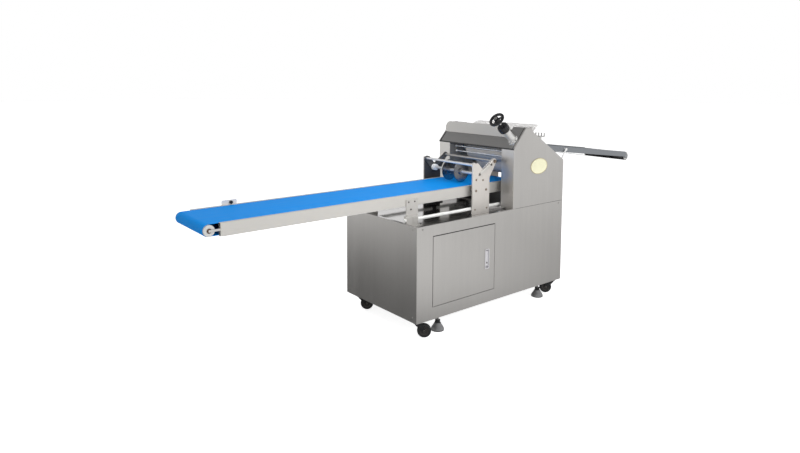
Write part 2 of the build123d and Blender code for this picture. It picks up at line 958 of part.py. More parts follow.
def gear_points(centre, first_tooth):
    """Outline of a spur gear with straight flanks, from the angle of its first tooth."""
    pitch_radius = gear_module * gear_teeth / 2
    tip = pitch_radius + 0.92 * gear_module
    root = pitch_radius - 1.15 * gear_module
    flank = tan(radians(20))
    tip_half = tooth_thickness / 2 - (tip - pitch_radius) * flank
    root_half = tooth_thickness / 2 + (pitch_radius - root) * flank
    points = []
    for tooth in range(gear_teeth):
        middle = first_tooth + 2 * pi * tooth / gear_teeth
        for radius, half in ((root, -root_half), (tip, -tip_half), (tip, tip_half), (root, root_half)):
            turn = middle + half / radius
            points.append((centre[0] + radius * cos(turn), centre[1] + radius * sin(turn)))
    return points


# Press rollers: the lower runs in the bearings, the upper in the sliding yoke
gear_y = (plate_outer + gear_start, plate_outer + gear_start + gear_face)
neck_y = (-half_opening + neck_end_gap, half_opening - neck_end_gap)
mesh_turn = hood_angle + pi / 2
sprocket_y = (
    plate_outer + chain_start + (chain_width - sprocket_width) / 2,
    plate_outer + chain_start + (chain_width + sprocket_width) / 2,
)

with BuildPart() as lower_press_roller:
    rod(*lower_axis, roller_radius, (-roller_width / 2, roller_width / 2))
    rod(*lower_axis, roller_neck_radius, neck_y)
    rod(*lower_axis, journal_radius, (-plate_outer - bearing_length - sheet, sprocket_y[1] + sheet))
    outline(gear_points(lower_axis, mesh_turn), gear_y)
    rod(*lower_axis, roller_sprocket_radius, sprocket_y)
save(lower_press_roller, "lower_press_roller")

with BuildPart() as upper_press_roller:
    rod(*upper_axis, roller_radius, (-roller_width / 2, roller_width / 2))
    rod(*upper_axis, roller_neck_radius, neck_y)
    rod(*upper_axis, journal_radius, (-plate_outer - bearing_length - sheet, gear_y[1] + sheet))
    outline(gear_points(upper_axis, mesh_turn + pi + pi / gear_teeth), gear_y)
save(upper_press_roller, "upper_press_roller")

# Sliding yoke: two bearing blocks in the plate slots, a tie bar and a lug for the screw
yoke_flange_y = (plate_outer + slide_fit, plate_outer + slide_fit + yoke_flange)
with BuildPart() as roller_yoke:
    for core_span, flange_span in zip(
        both_sides(half_opening, yoke_flange_y[1]), both_sides(*yoke_flange_y)
    ):
        with BuildSketch(side_plane(core_span[1])):
            with Locations(yoke_middle):
                Rectangle(yoke_length, yoke_width, rotation=slot_turn)
        extrude(amount=core_span[1] - core_span[0])
        with BuildSketch(side_plane(flange_span[1])):
            with Locations(yoke_middle):
                Rectangle(yoke_length, yoke_width + 2 * yoke_flange_lip, rotation=slot_turn)
        extrude(amount=flange_span[1] - flange_span[0])
    rod(*off_spindle(yoke_bar_rise - roller_depth), yoke_bar_radius, (-half_opening, half_opening))
    with BuildSketch(spindle_plane.offset(yoke_above - lug_length - roller_depth)):
        with Locations((0, (-yoke_flange_y[1] - spindle_y) / 2 - lug_half_width / 2)):
            Rectangle(2 * lug_half_width, -yoke_flange_y[1] - spindle_y + lug_half_width)
    extrude(amount=lug_length)
    rod(*upper_axis, journal_radius + running_fit, (-half_width, half_width), mode=Mode.SUBTRACT)
    with BuildSketch(spindle_plane.offset(yoke_above - 2 * lug_length - roller_depth)):
        Circle(screw_radius + running_fit)
    extrude(amount=3 * lug_length, mode=Mode.SUBTRACT)
save(roller_yoke, "roller_yoke")

# Adjuster: sleeve on the hood, position counter, screw and handwheel
with BuildPart() as spindle_sleeve:
    with BuildSketch(spindle_plane.offset(sheet)):
        Circle(sleeve_flange_radius)
    extrude(amount=sleeve_flange)
    with BuildSketch(spindle_plane.offset(sheet)):
        Circle(sleeve_radius)
    extrude(amount=sleeve_length)
    with BuildSketch(spindle_plane.offset(sheet)):
        Circle(screw_radius + running_fit)
    extrude(amount=sleeve_length, mode=Mode.SUBTRACT)
save(spindle_sleeve, "spindle_sleeve")

with BuildPart() as position_counter:
    with BuildSketch(spindle_plane.offset(sheet + sleeve_length)):
        Circle(counter_radius)
    extrude(amount=counter_length)
    chamfer(position_counter.edges().filter_by(GeomType.CIRCLE), counter_bevel)
    with BuildSketch(spindle_plane.offset(sheet + sleeve_length)):
        Circle(screw_radius + running_fit)
    extrude(amount=counter_length, mode=Mode.SUBTRACT)
save(position_counter, "position_counter")

wheel_top = wheel_centre + wheel_hub_length / 2
with BuildPart() as adjusting_screw:
    with BuildSketch(spindle_plane.offset(-screw_below)):
        Circle(screw_radius)
    extrude(amount=screw_below + wheel_top)
save(adjusting_screw, "adjusting_screw")

with BuildPart() as handwheel:
    with BuildSketch(spindle_plane.offset(wheel_centre - wheel_hub_length / 2)):
        Circle(wheel_hub_radius)
    extrude(amount=wheel_hub_length)
    for spoke in range(wheel_spokes):
        turn = 2 * pi * spoke / wheel_spokes + pi / 2
        spoke_dir = (
            spindle_plane.x_dir * cos(turn) + spindle_plane.y_dir * sin(turn)
        )
        with BuildSketch(
            Plane(origin=spindle_plane.origin + spindle_plane.z_dir * wheel_centre, z_dir=spoke_dir)
        ):
            Rectangle(2 * wheel_spoke_radius, 2 * wheel_spoke_radius)
        extrude(amount=wheel_rim_radius)
    with BuildSketch(
        Plane(
            origin=spindle_plane.origin + spindle_plane.z_dir * wheel_centre,
            x_dir=spindle_plane.x_dir,
            z_dir=spindle_plane.y_dir,
        )
    ):
        with Locations((wheel_rim_radius, 0)):
            RegularPolygon(wheel_rim_section, 8, rotation=22.5)
    revolve(axis=Axis(spindle_plane.origin, spindle_plane.z_dir))
    with BuildSketch(spindle_plane.offset(wheel_centre - wheel_hub_length / 2)):
        Circle(screw_radius)
    extrude(amount=wheel_hub_length, mode=Mode.SUBTRACT)
save(handwheel, "handwheel")

# Discharge conveyor: tube rails, slider bed, belt loop, drive and tail rollers
drive_axis = (x_at(drive_station), z_at(belt_axis_height))
tail_axis = (x_at(tail_station), z_at(belt_axis_height))
rail_z = (z_at(rail_bottom), z_at(rail_top))
rail_x = (x_at(rail_start), x_at(rail_end))

for name, rail_y in zip(
    ("near_conveyor_rail", "far_conveyor_rail"), both_sides(rail_inner, rail_outer)
):
    with BuildPart() as conveyor_rail:
        block(rail_x, rail_y, rail_z)
        block(
            (rail_x[0] - rail_wall, rail_x[1] + rail_wall),
            (rail_y[0] + rail_wall, rail_y[1] - rail_wall),
            (rail_z[0] + rail_wall, rail_z[1] - rail_wall),
            mode=Mode.SUBTRACT,
        )
    save(conveyor_rail, name)

with BuildPart() as slider_bed:
    block(
        (x_at(bed_start), x_at(bed_end)),
        (-rail_inner, rail_inner),
        (z_at(bed_top) - bed_flange, z_at(bed_top)),
    )
    block(
        (x_at(bed_start) - sheet, x_at(bed_end) + sheet),
        (-rail_inner + sheet, rail_inner - sheet),
        (z_at(bed_top) - 2 * bed_flange, z_at(bed_top) - sheet),
        mode=Mode.SUBTRACT,
    )
save(slider_bed, "slider_bed")

with BuildPart() as conveyor_belt:
    belt_y = (-belt_width / 2, belt_width / 2)
    belt_loop = belt_roller_radius + belt_thickness
    link([(*drive_axis, belt_loop), (*tail_axis, belt_loop)], belt_y)
    link(
        [(*drive_axis, belt_roller_radius), (*tail_axis, belt_roller_radius)],
        belt_y,
        mode=Mode.SUBTRACT,
    )
save(conveyor_belt, "conveyor_belt")

drive_half = belt_width / 2 - tension_fit
with BuildPart() as belt_drive_roller:
    rod(*drive_axis, belt_roller_radius - belt_fit, (-drive_half, drive_half))
    rod(*drive_axis, drive_journal_radius, (-plate_outer - sheet, sprocket_y[1] + sheet))
    rod(*drive_axis, belt_sprocket_radius, sprocket_y)
save(belt_drive_roller, "belt_drive_roller")

# The tail roller stands out past the belt on both sides, up to the tension bars
bar_outer = rail_outer - rail_wall - tension_fit
bar_inner = bar_outer - tension_bar
tail_end = bar_inner - 2 * tension_fit
with BuildPart() as tail_roller:
    rod(*tail_axis, belt_roller_radius - belt_fit, (-tail_end, tail_end))
    for recess_span in both_sides(tail_end - tail_recess_depth, tail_end):
        rod(*tail_axis, tail_recess_radius, recess_span, mode=Mode.SUBTRACT)
    rod(*tail_axis, tail_pin_radius, (-rail_outer, rail_outer))
save(tail_roller, "tail_roller")

# Tension brackets: a block in the open end of each rail with a bar and an eye for the tail roller's pin
with BuildPart() as tension_brackets:
    for side_span, bar_span in zip(
        both_sides(rail_inner + rail_wall + tension_fit, bar_outer),
        both_sides(bar_inner, bar_outer),
    ):
        block(
            (rail_x[0] + rail_wall, rail_x[0] + tension_block_length),
            side_span,
            (rail_z[0] + rail_wall, rail_z[1] - rail_wall - tension_fit),
        )
        block(
            (tail_axis[0], rail_x[0] + tension_block_length),
            bar_span,
            (tail_axis[1] - tension_bar_height, tail_axis[1] + tension_bar_height),
        )
        rod(*tail_axis, tension_eye_radius, bar_span)
    rod(*tail_axis, tail_pin_radius + running_fit, (-half_width, half_width), mode=Mode.SUBTRACT)
save(tension_brackets, "tension_brackets")

# Conveyor posts at the discharge end, each with a foot and a clamp for the guide bar
post_outer = rail_outer + post_thickness
post_middle = (post_start + post_end) / 2
bar_z = z_at(guide_bar_height)


def bar_clamp(station, inner, outer):
    """A clamp block on each side that holds the guide bar between two distances from the middle."""
    for clamp_span in both_sides(inner, outer):
        block(
            (x_at(station - clamp_length / 2), x_at(station + clamp_length / 2)),
            clamp_span,
            (bar_z - clamp_half_height, bar_z + clamp_half_height),
        )


def bar_hole(station):
    """The guide bar's hole through a clamp block on each side."""
    with BuildSketch(Plane.YZ.offset(x_at(station - clamp_length / 2))) as section:
        with Locations((-guide_bar_offset, bar_z), (guide_bar_offset, bar_z)):
            Circle(guide_bar_radius + running_fit)
    extrude(section.sketch, amount=clamp_length, mode=Mode.SUBTRACT)


with BuildPart() as conveyor_posts:
    for plate_span, foot_span in zip(
        both_sides(rail_outer, post_outer), both_sides(rail_outer, post_outer + post_foot)
    ):
        block((x_at(post_start), x_at(post_end)), plate_span, (z_at(pan_floor), z_at(post_top)))
        block(
            (x_at(post_start), x_at(post_end)),
            foot_span,
            (z_at(pan_floor), z_at(pan_floor) + post_thickness),
        )
    bar_clamp(post_middle, post_outer, guide_bar_offset + clamp_half_width)
    bar_hole(post_middle)
save(conveyor_posts, "conveyor_posts")

with BuildPart() as guide_bars:
    with BuildSketch(Plane.YZ.offset(x_at(guide_bar_start))):
        with Locations((-guide_bar_offset, bar_z), (guide_bar_offset, bar_z)):
            Circle(guide_bar_radius)
    extrude(amount=guide_bar_end - guide_bar_start)
save(guide_bars, "guide_bars")

# Cutter posts: shaped plates from the pan floor to the ear of the rear tie rod
tie_axis = (x_at(tie_rod_station), z_at(tie_rod_height))
lift_axis = (x_at(lift_bar_station), z_at(lift_bar_height))
cutter_axis = (x_at(cutter_station), z_at(cutter_height))
cutter_post_inner = cutter_post_outer - cutter_post_thickness
cutter_middle = (cutter_post_start + cutter_post_end) / 2
post_points = [
    (x_at(cutter_post_start), z_at(pan_floor)),
    (x_at(cutter_post_start), z_at(cutter_post_front_top)),
    (x_at(cutter_post_front_end), z_at(cutter_post_front_top)),
    (x_at(cutter_post_valley), z_at(cutter_post_valley_height)),
    (tie_axis[0] - tie_rod_ear * 0.7, tie_axis[1] + tie_rod_ear * 0.7),
    (tie_axis[0] + tie_rod_ear * 0.7, tie_axis[1] - tie_rod_ear * 0.7),
    (x_at(cutter_post_end), z_at(cutter_post_waist)),
    (x_at(cutter_post_end), z_at(pan_floor)),
]

for name, side in (("near_cutter_post", -1), ("far_cutter_post", 1)):
    post_span = sorted((side * cutter_post_inner, side * cutter_post_outer))
    foot_span = sorted((side * (cutter_post_inner - cutter_post_foot), side * cutter_post_inner))
    off_span = sorted((side * rail_outer, side * cutter_post_inner))
    clamp_span = sorted((side * (guide_bar_offset - clamp_half_width), side * cutter_post_inner))
    with BuildPart() as cutter_post:
        outline(post_points, post_span)
        rod(*tie_axis, tie_rod_ear, post_span)
        block(
            (x_at(cutter_post_start), x_at(cutter_post_end)),
            foot_span,
            (z_at(pan_floor), z_at(pan_floor) + post_thickness),
        )
        for off_station in (
            cutter_post_start + standoff_inset,
            cutter_post_end - standoff_inset,
        ):
            rod(x_at(off_station), (rail_z[0] + rail_z[1]) / 2, standoff_radius, off_span)
        block(
            (x_at(cutter_middle - clamp_length / 2), x_at(cutter_middle + clamp_length / 2)),
            clamp_span,
            (bar_z - clamp_half_height, bar_z + clamp_half_height),
        )
        bar_hole(cutter_middle)
        rod(*tie_axis, tie_rod_radius, post_span, mode=Mode.SUBTRACT)
    save(cutter_post, name)

with BuildPart() as rear_tie_rod:
    rod(*tie_axis, tie_rod_radius, (-cutter_post_outer - sheet, cutter_post_outer + sheet))
save(rear_tie_rod, "rear_tie_rod")

# Swing frame: two bent arms and a lift bar, turning on the rear tie rod
arm_outer = cutter_post_inner - arm_gap
with BuildPart() as cutter_swing_frame:
    for arm_span in both_sides(arm_outer - arm_thickness, arm_outer):
        link([(*tie_axis, arm_end_radius), (*cutter_axis, arm_end_radius)], arm_span)
        link([(*cutter_axis, arm_end_radius), (*lift_axis, arm_end_radius)], arm_span)
    rod(*lift_axis, tie_rod_radius, (-arm_outer, arm_outer))
    rod(*tie_axis, tie_rod_radius + running_fit, (-arm_outer, arm_outer), mode=Mode.SUBTRACT)
    rod(*cutter_axis, cutter_shaft_radius + running_fit, (-arm_outer, arm_outer), mode=Mode.SUBTRACT)
save(cutter_swing_frame, "cutter_swing_frame")

collar_outer = arm_outer - arm_thickness - collar_inset
with BuildPart() as cutter_shaft:
    rod(*cutter_axis, cutter_shaft_radius, (-arm_outer - arm_gap / 2, arm_outer + arm_gap / 2))
    for collar_span in both_sides(collar_outer - collar_length, collar_outer):
        rod(*cutter_axis, collar_radius, collar_span)
save(cutter_shaft, "cutter_shaft")

with BuildPart() as cutter_discs:
    for disc_y in (-disc_spread / 2, disc_spread / 2):
        disc_centre = (cutter_axis[0], disc_y, cutter_axis[1])
        with BuildSketch(Plane(origin=disc_centre, x_dir=(0, 1, 0), z_dir=(1, 0, 0))):
            with BuildLine():
                Polyline(
                    (-disc_hub_length / 2, cutter_shaft_radius),
                    (-disc_hub_length / 2, disc_hub_radius),
                    (-disc_thickness / 2, disc_hub_radius),
                    (-disc_thickness / 2, disc_radius - disc_edge),
                    (0, disc_radius),
                    (disc_thickness / 2, disc_radius - disc_edge),
                    (disc_thickness / 2, disc_hub_radius),
                    (disc_hub_length / 2, disc_hub_radius),
                    (disc_hub_length / 2, cutter_shaft_radius),
                    close=True,
                )
            make_face()
        revolve(axis=Axis(disc_centre, (0, 1, 0)))
save(cutter_discs, "cutter_discs")

# Product sensor on the far rail
sensor_x = x_at(sensor_station + sensor_shift)
sensor_y = (rail_outer, rail_outer + sensor_plate_thickness)
with BuildPart() as sensor_bracket:
    block(
        (
            x_at(sensor_station - sensor_plate_width / 2),
            x_at(sensor_station + sensor_plate_width / 2),
        ),
        sensor_y,
        (z_at(sensor_plate_foot), z_at(sensor_plate_top)),
    )
    fillet(
        sensor_bracket.edges().filter_by(Axis.Y).group_by(Axis.Z)[-1],
        2 * sensor_plate_thickness,
    )
    rod(sensor_x, z_at(sensor_height), sensor_radius, sensor_y, mode=Mode.SUBTRACT)
save(sensor_bracket, "sensor_bracket")

with BuildPart() as sensor_eye:
    rod(
        sensor_x,
        z_at(sensor_height),
        sensor_radius,
        (sensor_y[0] - sensor_length / 3, sensor_y[0] + 2 * sensor_length / 3),
    )
save(sensor_eye, "sensor_eye")

# Infeed conveyor: trough, belt, rollers and the stays that hold it
infeed_plane = Plane(
    origin=(infeed_head[0], 0, infeed_head[1]),
    x_dir=(infeed_along[0], 0, infeed_along[1]),
    z_dir=(0, -1, 0),
)
infeed_nose = infeed_tail_radius + infeed_belt_thickness
infeed_length = (
    cabinet_length + infeed_reach - infeed_head_station - infeed_nose + infeed_nose * infeed_up[0]
) / infeed_along[0]
head_pin = (0, -infeed_head_radius - infeed_belt_thickness)
tail_pin = (infeed_length, -infeed_nose)
infeed_inner = rail_outer - infeed_rail
infeed_belt_y = (-infeed_belt_width / 2, infeed_belt_width / 2)
infeed_roller_y = (infeed_belt_y[0] + tension_fit, infeed_belt_y[1] - tension_fit)
bed_z = (-infeed_belt_thickness - belt_rest - sheet, -infeed_belt_thickness - belt_rest)

with BuildPart() as infeed_trough:
    for rail_span in both_sides(infeed_inner, rail_outer):
        with BuildSketch(infeed_plane.offset(-rail_span[1])):
            with BuildLine():
                Polyline(
                    (-infeed_rail_lead, -infeed_rail_below),
                    (-infeed_rail_lead, infeed_rail_above),
                    (infeed_length - infeed_lobe, infeed_rail_above),
                    (infeed_length + infeed_lobe, -infeed_nose),
                    (infeed_length, -infeed_nose - infeed_lobe),
                    (infeed_length - 2 * infeed_lobe, -infeed_rail_below),
                    close=True,
                )
            make_face()
            with Locations(tail_pin):
                Circle(infeed_lobe)
            with Locations(head_pin, tail_pin):
                Circle(infeed_pin_radius + running_fit, mode=Mode.SUBTRACT)
        extrude(amount=infeed_rail)
    with BuildSketch(infeed_plane.offset(-infeed_inner)):
        with Locations(((infeed_bed_start + infeed_length - infeed_bed_margin) / 2, sum(bed_z) / 2)):
            Rectangle(infeed_length - infeed_bed_margin - infeed_bed_start, sheet)
    extrude(amount=2 * infeed_inner)
    for stub_span in both_sides(infeed_inner, plate_outer):
        rod(*stub_place, infeed_stub_radius, stub_span)
save(infeed_trough, "infeed_trough")

with BuildPart() as infeed_belt:
    link(
        [
            (*head_pin, infeed_head_radius + infeed_belt_thickness),
            (*tail_pin, infeed_nose),
        ],
        infeed_belt_y,
        infeed_plane,
    )
    link(
        [(*head_pin, infeed_head_radius), (*tail_pin, infeed_tail_radius)],
        infeed_belt_y,
        infeed_plane,
        mode=Mode.SUBTRACT,
    )
save(infeed_belt, "infeed_belt")

for name, pin, radius in (
    ("infeed_head_roller", head_pin, infeed_head_radius),
    ("infeed_tail_roller", tail_pin, infeed_tail_radius),
):
    with BuildPart() as infeed_roller:
        axis = on_infeed(*pin)
        rod(*axis, radius - belt_fit, infeed_roller_y)
        rod(*axis, infeed_pin_radius, (-rail_outer, rail_outer))
    save(infeed_roller, name)

stay_along = (stay_top_station - infeed_head_station) / infeed_along[0]
stay_top = on_infeed(stay_along, (infeed_rail_above - infeed_rail_below) / 2)
stay_foot_y = half_opening + stay_foot_size / 2 + sheet
with BuildPart() as infeed_stays:
    for side in (-1, 1):
        low = Vector(tower_rear + stay_foot_thickness, side * stay_foot_y, z_at(stay_foot_height))
        high = Vector(stay_top[0], side * (rail_outer + stay_boss_length / 2), stay_top[1])
        with BuildSketch(Plane(origin=low, z_dir=high - low)):
            Circle(stay_radius)
        extrude(amount=(high - low).length)
        rod(*stay_top, stay_boss_radius, sorted((side * rail_outer, side * (rail_outer + stay_boss_length))))
        block(
            (tower_rear, tower_rear + stay_foot_thickness),
            (low.Y - stay_foot_size / 2, low.Y + stay_foot_size / 2),
            (low.Z - stay_foot_size / 2, low.Z + stay_foot_size / 2),
        )
save(infeed_stays, "infeed_stays")

# Drive: geared motor on the floor plate, its output sprocket and the chain round three sprockets
floor_top = ground_clearance + angle_wall + floor_sheet
motor_axis = (x_at(motor_station), floor_top + gearbox_height / 2)
gearbox_x = (motor_axis[0] - gearbox_length / 2, motor_axis[0] + gearbox_length / 2)
motor_y = (gearbox_near + gearbox_far) / 2
with BuildPart() as gear_motor:
    block(gearbox_x, (gearbox_near, gearbox_far), (floor_top, floor_top + gearbox_height))
    fillet(gear_motor.edges().filter_by(Axis.Y).group_by(Axis.Z)[-1], gearbox_length / 5)
    with BuildSketch(Plane(origin=(gearbox_x[0], motor_y, motor_axis[1]), z_dir=(-1, 0, 0))):
        Circle(motor_radius)
        with PolarLocations(motor_radius, motor_fins):
            Rectangle(2 * fin_height, fin_width)
    extrude(amount=motor_length)
    rod(
        *motor_axis,
        output_shaft_radius + running_fit,
        (gearbox_far - 2 * output_shaft_radius, gearbox_far),
        mode=Mode.SUBTRACT,
    )
save(gear_motor, "gear_motor")

with BuildPart() as motor_sprocket:
    rod(*motor_axis, motor_sprocket_radius, sprocket_y)
    rod(
        *motor_axis,
        output_shaft_radius,
        (gearbox_far - 2 * output_shaft_radius + sheet, sprocket_y[1] + sheet),
    )
save(motor_sprocket, "motor_sprocket")

chain_round = (
    (*motor_axis, motor_sprocket_radius),
    (*lower_axis, roller_sprocket_radius),
    (*drive_axis, belt_sprocket_radius),
)
with BuildPart() as drive_chain:
    link([(x, z, radius + chain_fit + chain_depth) for x, z, radius in chain_round], chain_y)
    link(
        [(x, z, radius + chain_fit) for x, z, radius in chain_round],
        chain_y,
        mode=Mode.SUBTRACT,
    )
save(drive_chain, "drive_chain")

# Electrical box on the far wall inside the cabinet
with BuildPart() as control_box:
    block(
        (x_at(box_station), x_at(box_station + box_length)),
        (half_width - sheet - box_depth, half_width - sheet),
        (ground_clearance + box_bottom, ground_clearance + box_bottom + box_height),
    )
    fillet(control_box.edges().filter_by(Axis.Z).group_by(Axis.Y)[0], corner_bend)
    block(
        (x_at(box_station) + sheet, x_at(box_station + box_length) - sheet),
        (half_width - box_depth, half_width),
        (
            ground_clearance + box_bottom + sheet,
            ground_clearance + box_bottom + box_height - sheet,
        ),
        mode=Mode.SUBTRACT,
    )
save(control_box, "control_box")

# Casters: each fork turns on its stem, each wheel on the fork's axle
axle_z = caster_wheel_radius + caster_lift
head_top = ground_clearance - caster_head_top
stem_foot = ground_clearance - caster_stem_length
wheel_half = caster_wheel_width / 2
cheek = (wheel_half + caster_fork_gap, wheel_half + caster_fork_gap + caster_fork_plate)
for corner, (place_x, place_y, heading) in caster_places.items():
    facing = radians(heading)
    caster_plane = Plane(
        origin=(place_x, place_y, 0),
        x_dir=(cos(facing), sin(facing), 0),
        z_dir=(sin(facing), -cos(facing), 0),
    )
    with BuildPart() as caster_fork:
        with BuildSketch(Plane(origin=(place_x, place_y, stem_foot))):
            Circle(caster_head_radius)
        extrude(amount=head_top - stem_foot)
        for cheek_span in both_sides(*cheek):
            link(
                [
                    (-caster_head_radius / 3, stem_foot, caster_head_radius / 3),
                    (caster_head_radius / 2, stem_foot, caster_head_radius / 3),
                    (caster_trail, axle_z, 3 * caster_axle_radius),
                ],
                cheek_span,
                caster_plane,
            )
        link(
            [(caster_trail, axle_z, caster_axle_radius)],
            (-cheek[1] - sheet, cheek[1] + sheet),
            caster_plane,
        )
        with Locations((place_x, place_y, stem_foot)):
            Cylinder(
                caster_stem_radius + running_fit,
                2 * caster_stem_length,
                align=(Align.CENTER, Align.CENTER, Align.CENTER),
                mode=Mode.SUBTRACT,
            )
    save(caster_fork, f"{corner}_caster_fork")
    with BuildPart() as caster_wheel:
        link([(caster_trail, axle_z, caster_wheel_radius)], (-wheel_half, wheel_half), caster_plane)
        chamfer(caster_wheel.edges().filter_by(GeomType.CIRCLE), caster_tread_bevel)
        link(
            [(caster_trail, axle_z, caster_axle_radius + running_fit)],
            (-wheel_half, wheel_half),
            caster_plane,
            mode=Mode.SUBTRACT,
        )
    save(caster_wheel, f"{corner}_caster_wheel")

# Levelling feet: cone pad, hexagon and threaded stem in the frame's boss
on_base = (Align.CENTER, Align.CENTER, Align.MIN)
for corner, (place_x, place_y) in foot_places.items():
    with BuildPart() as levelling_foot:
        with Locations((place_x, place_y, 0)):
            Cylinder(foot_pad_radius, foot_pad_edge, align=on_base)
        with Locations((place_x, place_y, foot_pad_edge)):
            Cone(foot_pad_radius, foot_pad_top_radius, foot_pad_height - foot_pad_edge, align=on_base)
        with BuildSketch(Plane(origin=(place_x, place_y, foot_pad_height))):
            RegularPolygon(foot_nut_width / 2, 6, major_radius=False)
        extrude(amount=foot_nut_height)
        with Locations((place_x, place_y, foot_pad_height + foot_nut_height)):
            Cylinder(
                foot_stem_radius,
                ground_clearance + foot_boss_height - foot_pad_height - foot_nut_height,
                align=on_base,
            )
    save(levelling_foot, f"{corner}_levelling_foot")
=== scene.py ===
import math

import bmesh
import bpy
from mathutils import Matrix, Vector


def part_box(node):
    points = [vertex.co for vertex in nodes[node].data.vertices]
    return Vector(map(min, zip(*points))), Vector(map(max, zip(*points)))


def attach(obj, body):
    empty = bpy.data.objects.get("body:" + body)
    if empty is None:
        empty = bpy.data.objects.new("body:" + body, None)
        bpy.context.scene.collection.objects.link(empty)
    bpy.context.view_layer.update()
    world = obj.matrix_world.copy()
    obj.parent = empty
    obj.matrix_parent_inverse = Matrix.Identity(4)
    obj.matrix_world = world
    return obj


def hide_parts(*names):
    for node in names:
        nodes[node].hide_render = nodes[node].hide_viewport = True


# Looks of the dough divider: finishes for every CAD node, and the small pieces that the CAD leaves out.
# Metres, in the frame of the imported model: +X towards the infeed, -Y is the side with the door.
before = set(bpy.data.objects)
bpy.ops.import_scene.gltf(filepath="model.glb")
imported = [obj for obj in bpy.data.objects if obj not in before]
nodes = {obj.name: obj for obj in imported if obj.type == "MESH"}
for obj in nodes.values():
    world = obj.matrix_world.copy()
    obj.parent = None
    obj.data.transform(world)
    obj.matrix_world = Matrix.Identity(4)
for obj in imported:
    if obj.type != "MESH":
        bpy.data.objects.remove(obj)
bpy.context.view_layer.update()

# Photograph
IMAGE_WIDTH = 800
IMAGE_HEIGHT = 453
FOCAL_PIXELS = 622.85
PRINCIPAL_ROW = 131.7
SENSOR_WIDTH = 36
CAMERA_PLACE = Vector((-3.0561, -3.1638, 1.6078))
CAMERA_YAW = math.radians(38.966)
CAMERA_PITCH = math.radians(5)
CAMERA_ROLL = math.radians(0.257)

# Studio light, where 1 is white
HORIZON_LEVEL = 0.95
ZENITH_LEVEL = 0.22
DOME_RISE = (0.2, 0.7)
FLOOR_TO_CAMERA = 0.8
# Glow of the floor that only the steel sees: painted shade round a dark place, a lit side, and a painted pool
# of light
FLOOR_TO_STEEL = (0.11, 1.16)
FLOOR_REACH = (1.0, 6.6)
DARK_PLACE = (-0.5, 0.6, 0)
LIT_SIDE = (1, 0, 0)
LIT_GAIN = (1.15, 0.74)
LIT_REACH = (1.0, 4.5)
POOL_PLACE = (0.1, -1.5, 0)
POOL_LEVEL = 0.58
POOL_REACH = (0.3, 1.7)
FLOOR_RADIUS = 40
FLOOR_Z = -0.0004

# Lamps: name, place, target, size in metres, power in watts, and the angle over which it spreads
LAMPS = [
    ("key", (0.6, -4.2, 2.6), (0.1, 0, 0.5), 4.6, 110, math.pi),
    ("top", (0, 0, 4.6), (0, 0, 0), 4.0, 60, math.pi),
    ("front", (-1.8, -2.6, 4.2), (-0.4, 0, 0.6), 4.2, 70, math.pi),
    ("fill", (-2.6, -0.9, 2.0), (0.35, 0, 1.08), 0.8, 2, math.radians(40)),
]

# Stretch of a noise by the axis: the grain runs along the axis with the small factor
GRAIN_UPRIGHT = (1, 1, 0.012)
GRAIN_ALONG = (0.012, 1, 1)
GRAIN_ACROSS = (1, 0.012, 1)
NO_GRAIN = (1, 1, 1)
TURNED_RINGS = (0.05, 1, 0.05)

# Part of a noise's range that a brushed finish uses
STREAKS = (0.35, 0.65)

# Where a finish changes, in metres
SLEEVE_END = (0.18, 0.181)
BELT_AXIS = 0.84
BAR_FACE = (0.2, 0.2005)
BAR_EDGE = (0.0061, 0.0063)
EYE_END = (-1.865, -1.864)
BAR_TIP = (-1.8825, -1.8815)
# Inner faces of the cutter posts, painted near black as painted shade
POST_INSIDE_SHADE = (0.2446, 0.2442)
# Where the deck turns near black inside the tower: painted shade
TOWER_INSIDE_SHADE = (0.2, 0.24)
# The hopper's rear flare, painted paler as painted light
REAR_FLARE_LIGHT = (0.515, 0.525)
# The swing frame's far arm, painted dark as painted shade
FAR_ARM_SHADE = (0.2325, 0.2335)

STAINLESS = (0.60, 0.585, 0.565)
BRIGHT = (0.66, 0.65, 0.63)
ROLLER_END = (0.62, 0.61, 0.60)


# Materials

def add_node(tree, kind, inputs=(), **settings):
    """A node with its settings, where each input is linked to a socket or set to a value."""
    node = tree.nodes.new(kind)
    for name, value in settings.items():
        setattr(node, name, value)
    for socket, value in dict(inputs).items():
        if isinstance(value, bpy.types.NodeSocket):
            tree.links.new(value, node.inputs[socket])
        else:
            node.inputs[socket].default_value = value
    return node


def shade(colour, factor):
    return (*(min(1, part * factor) for part in colour), 1)


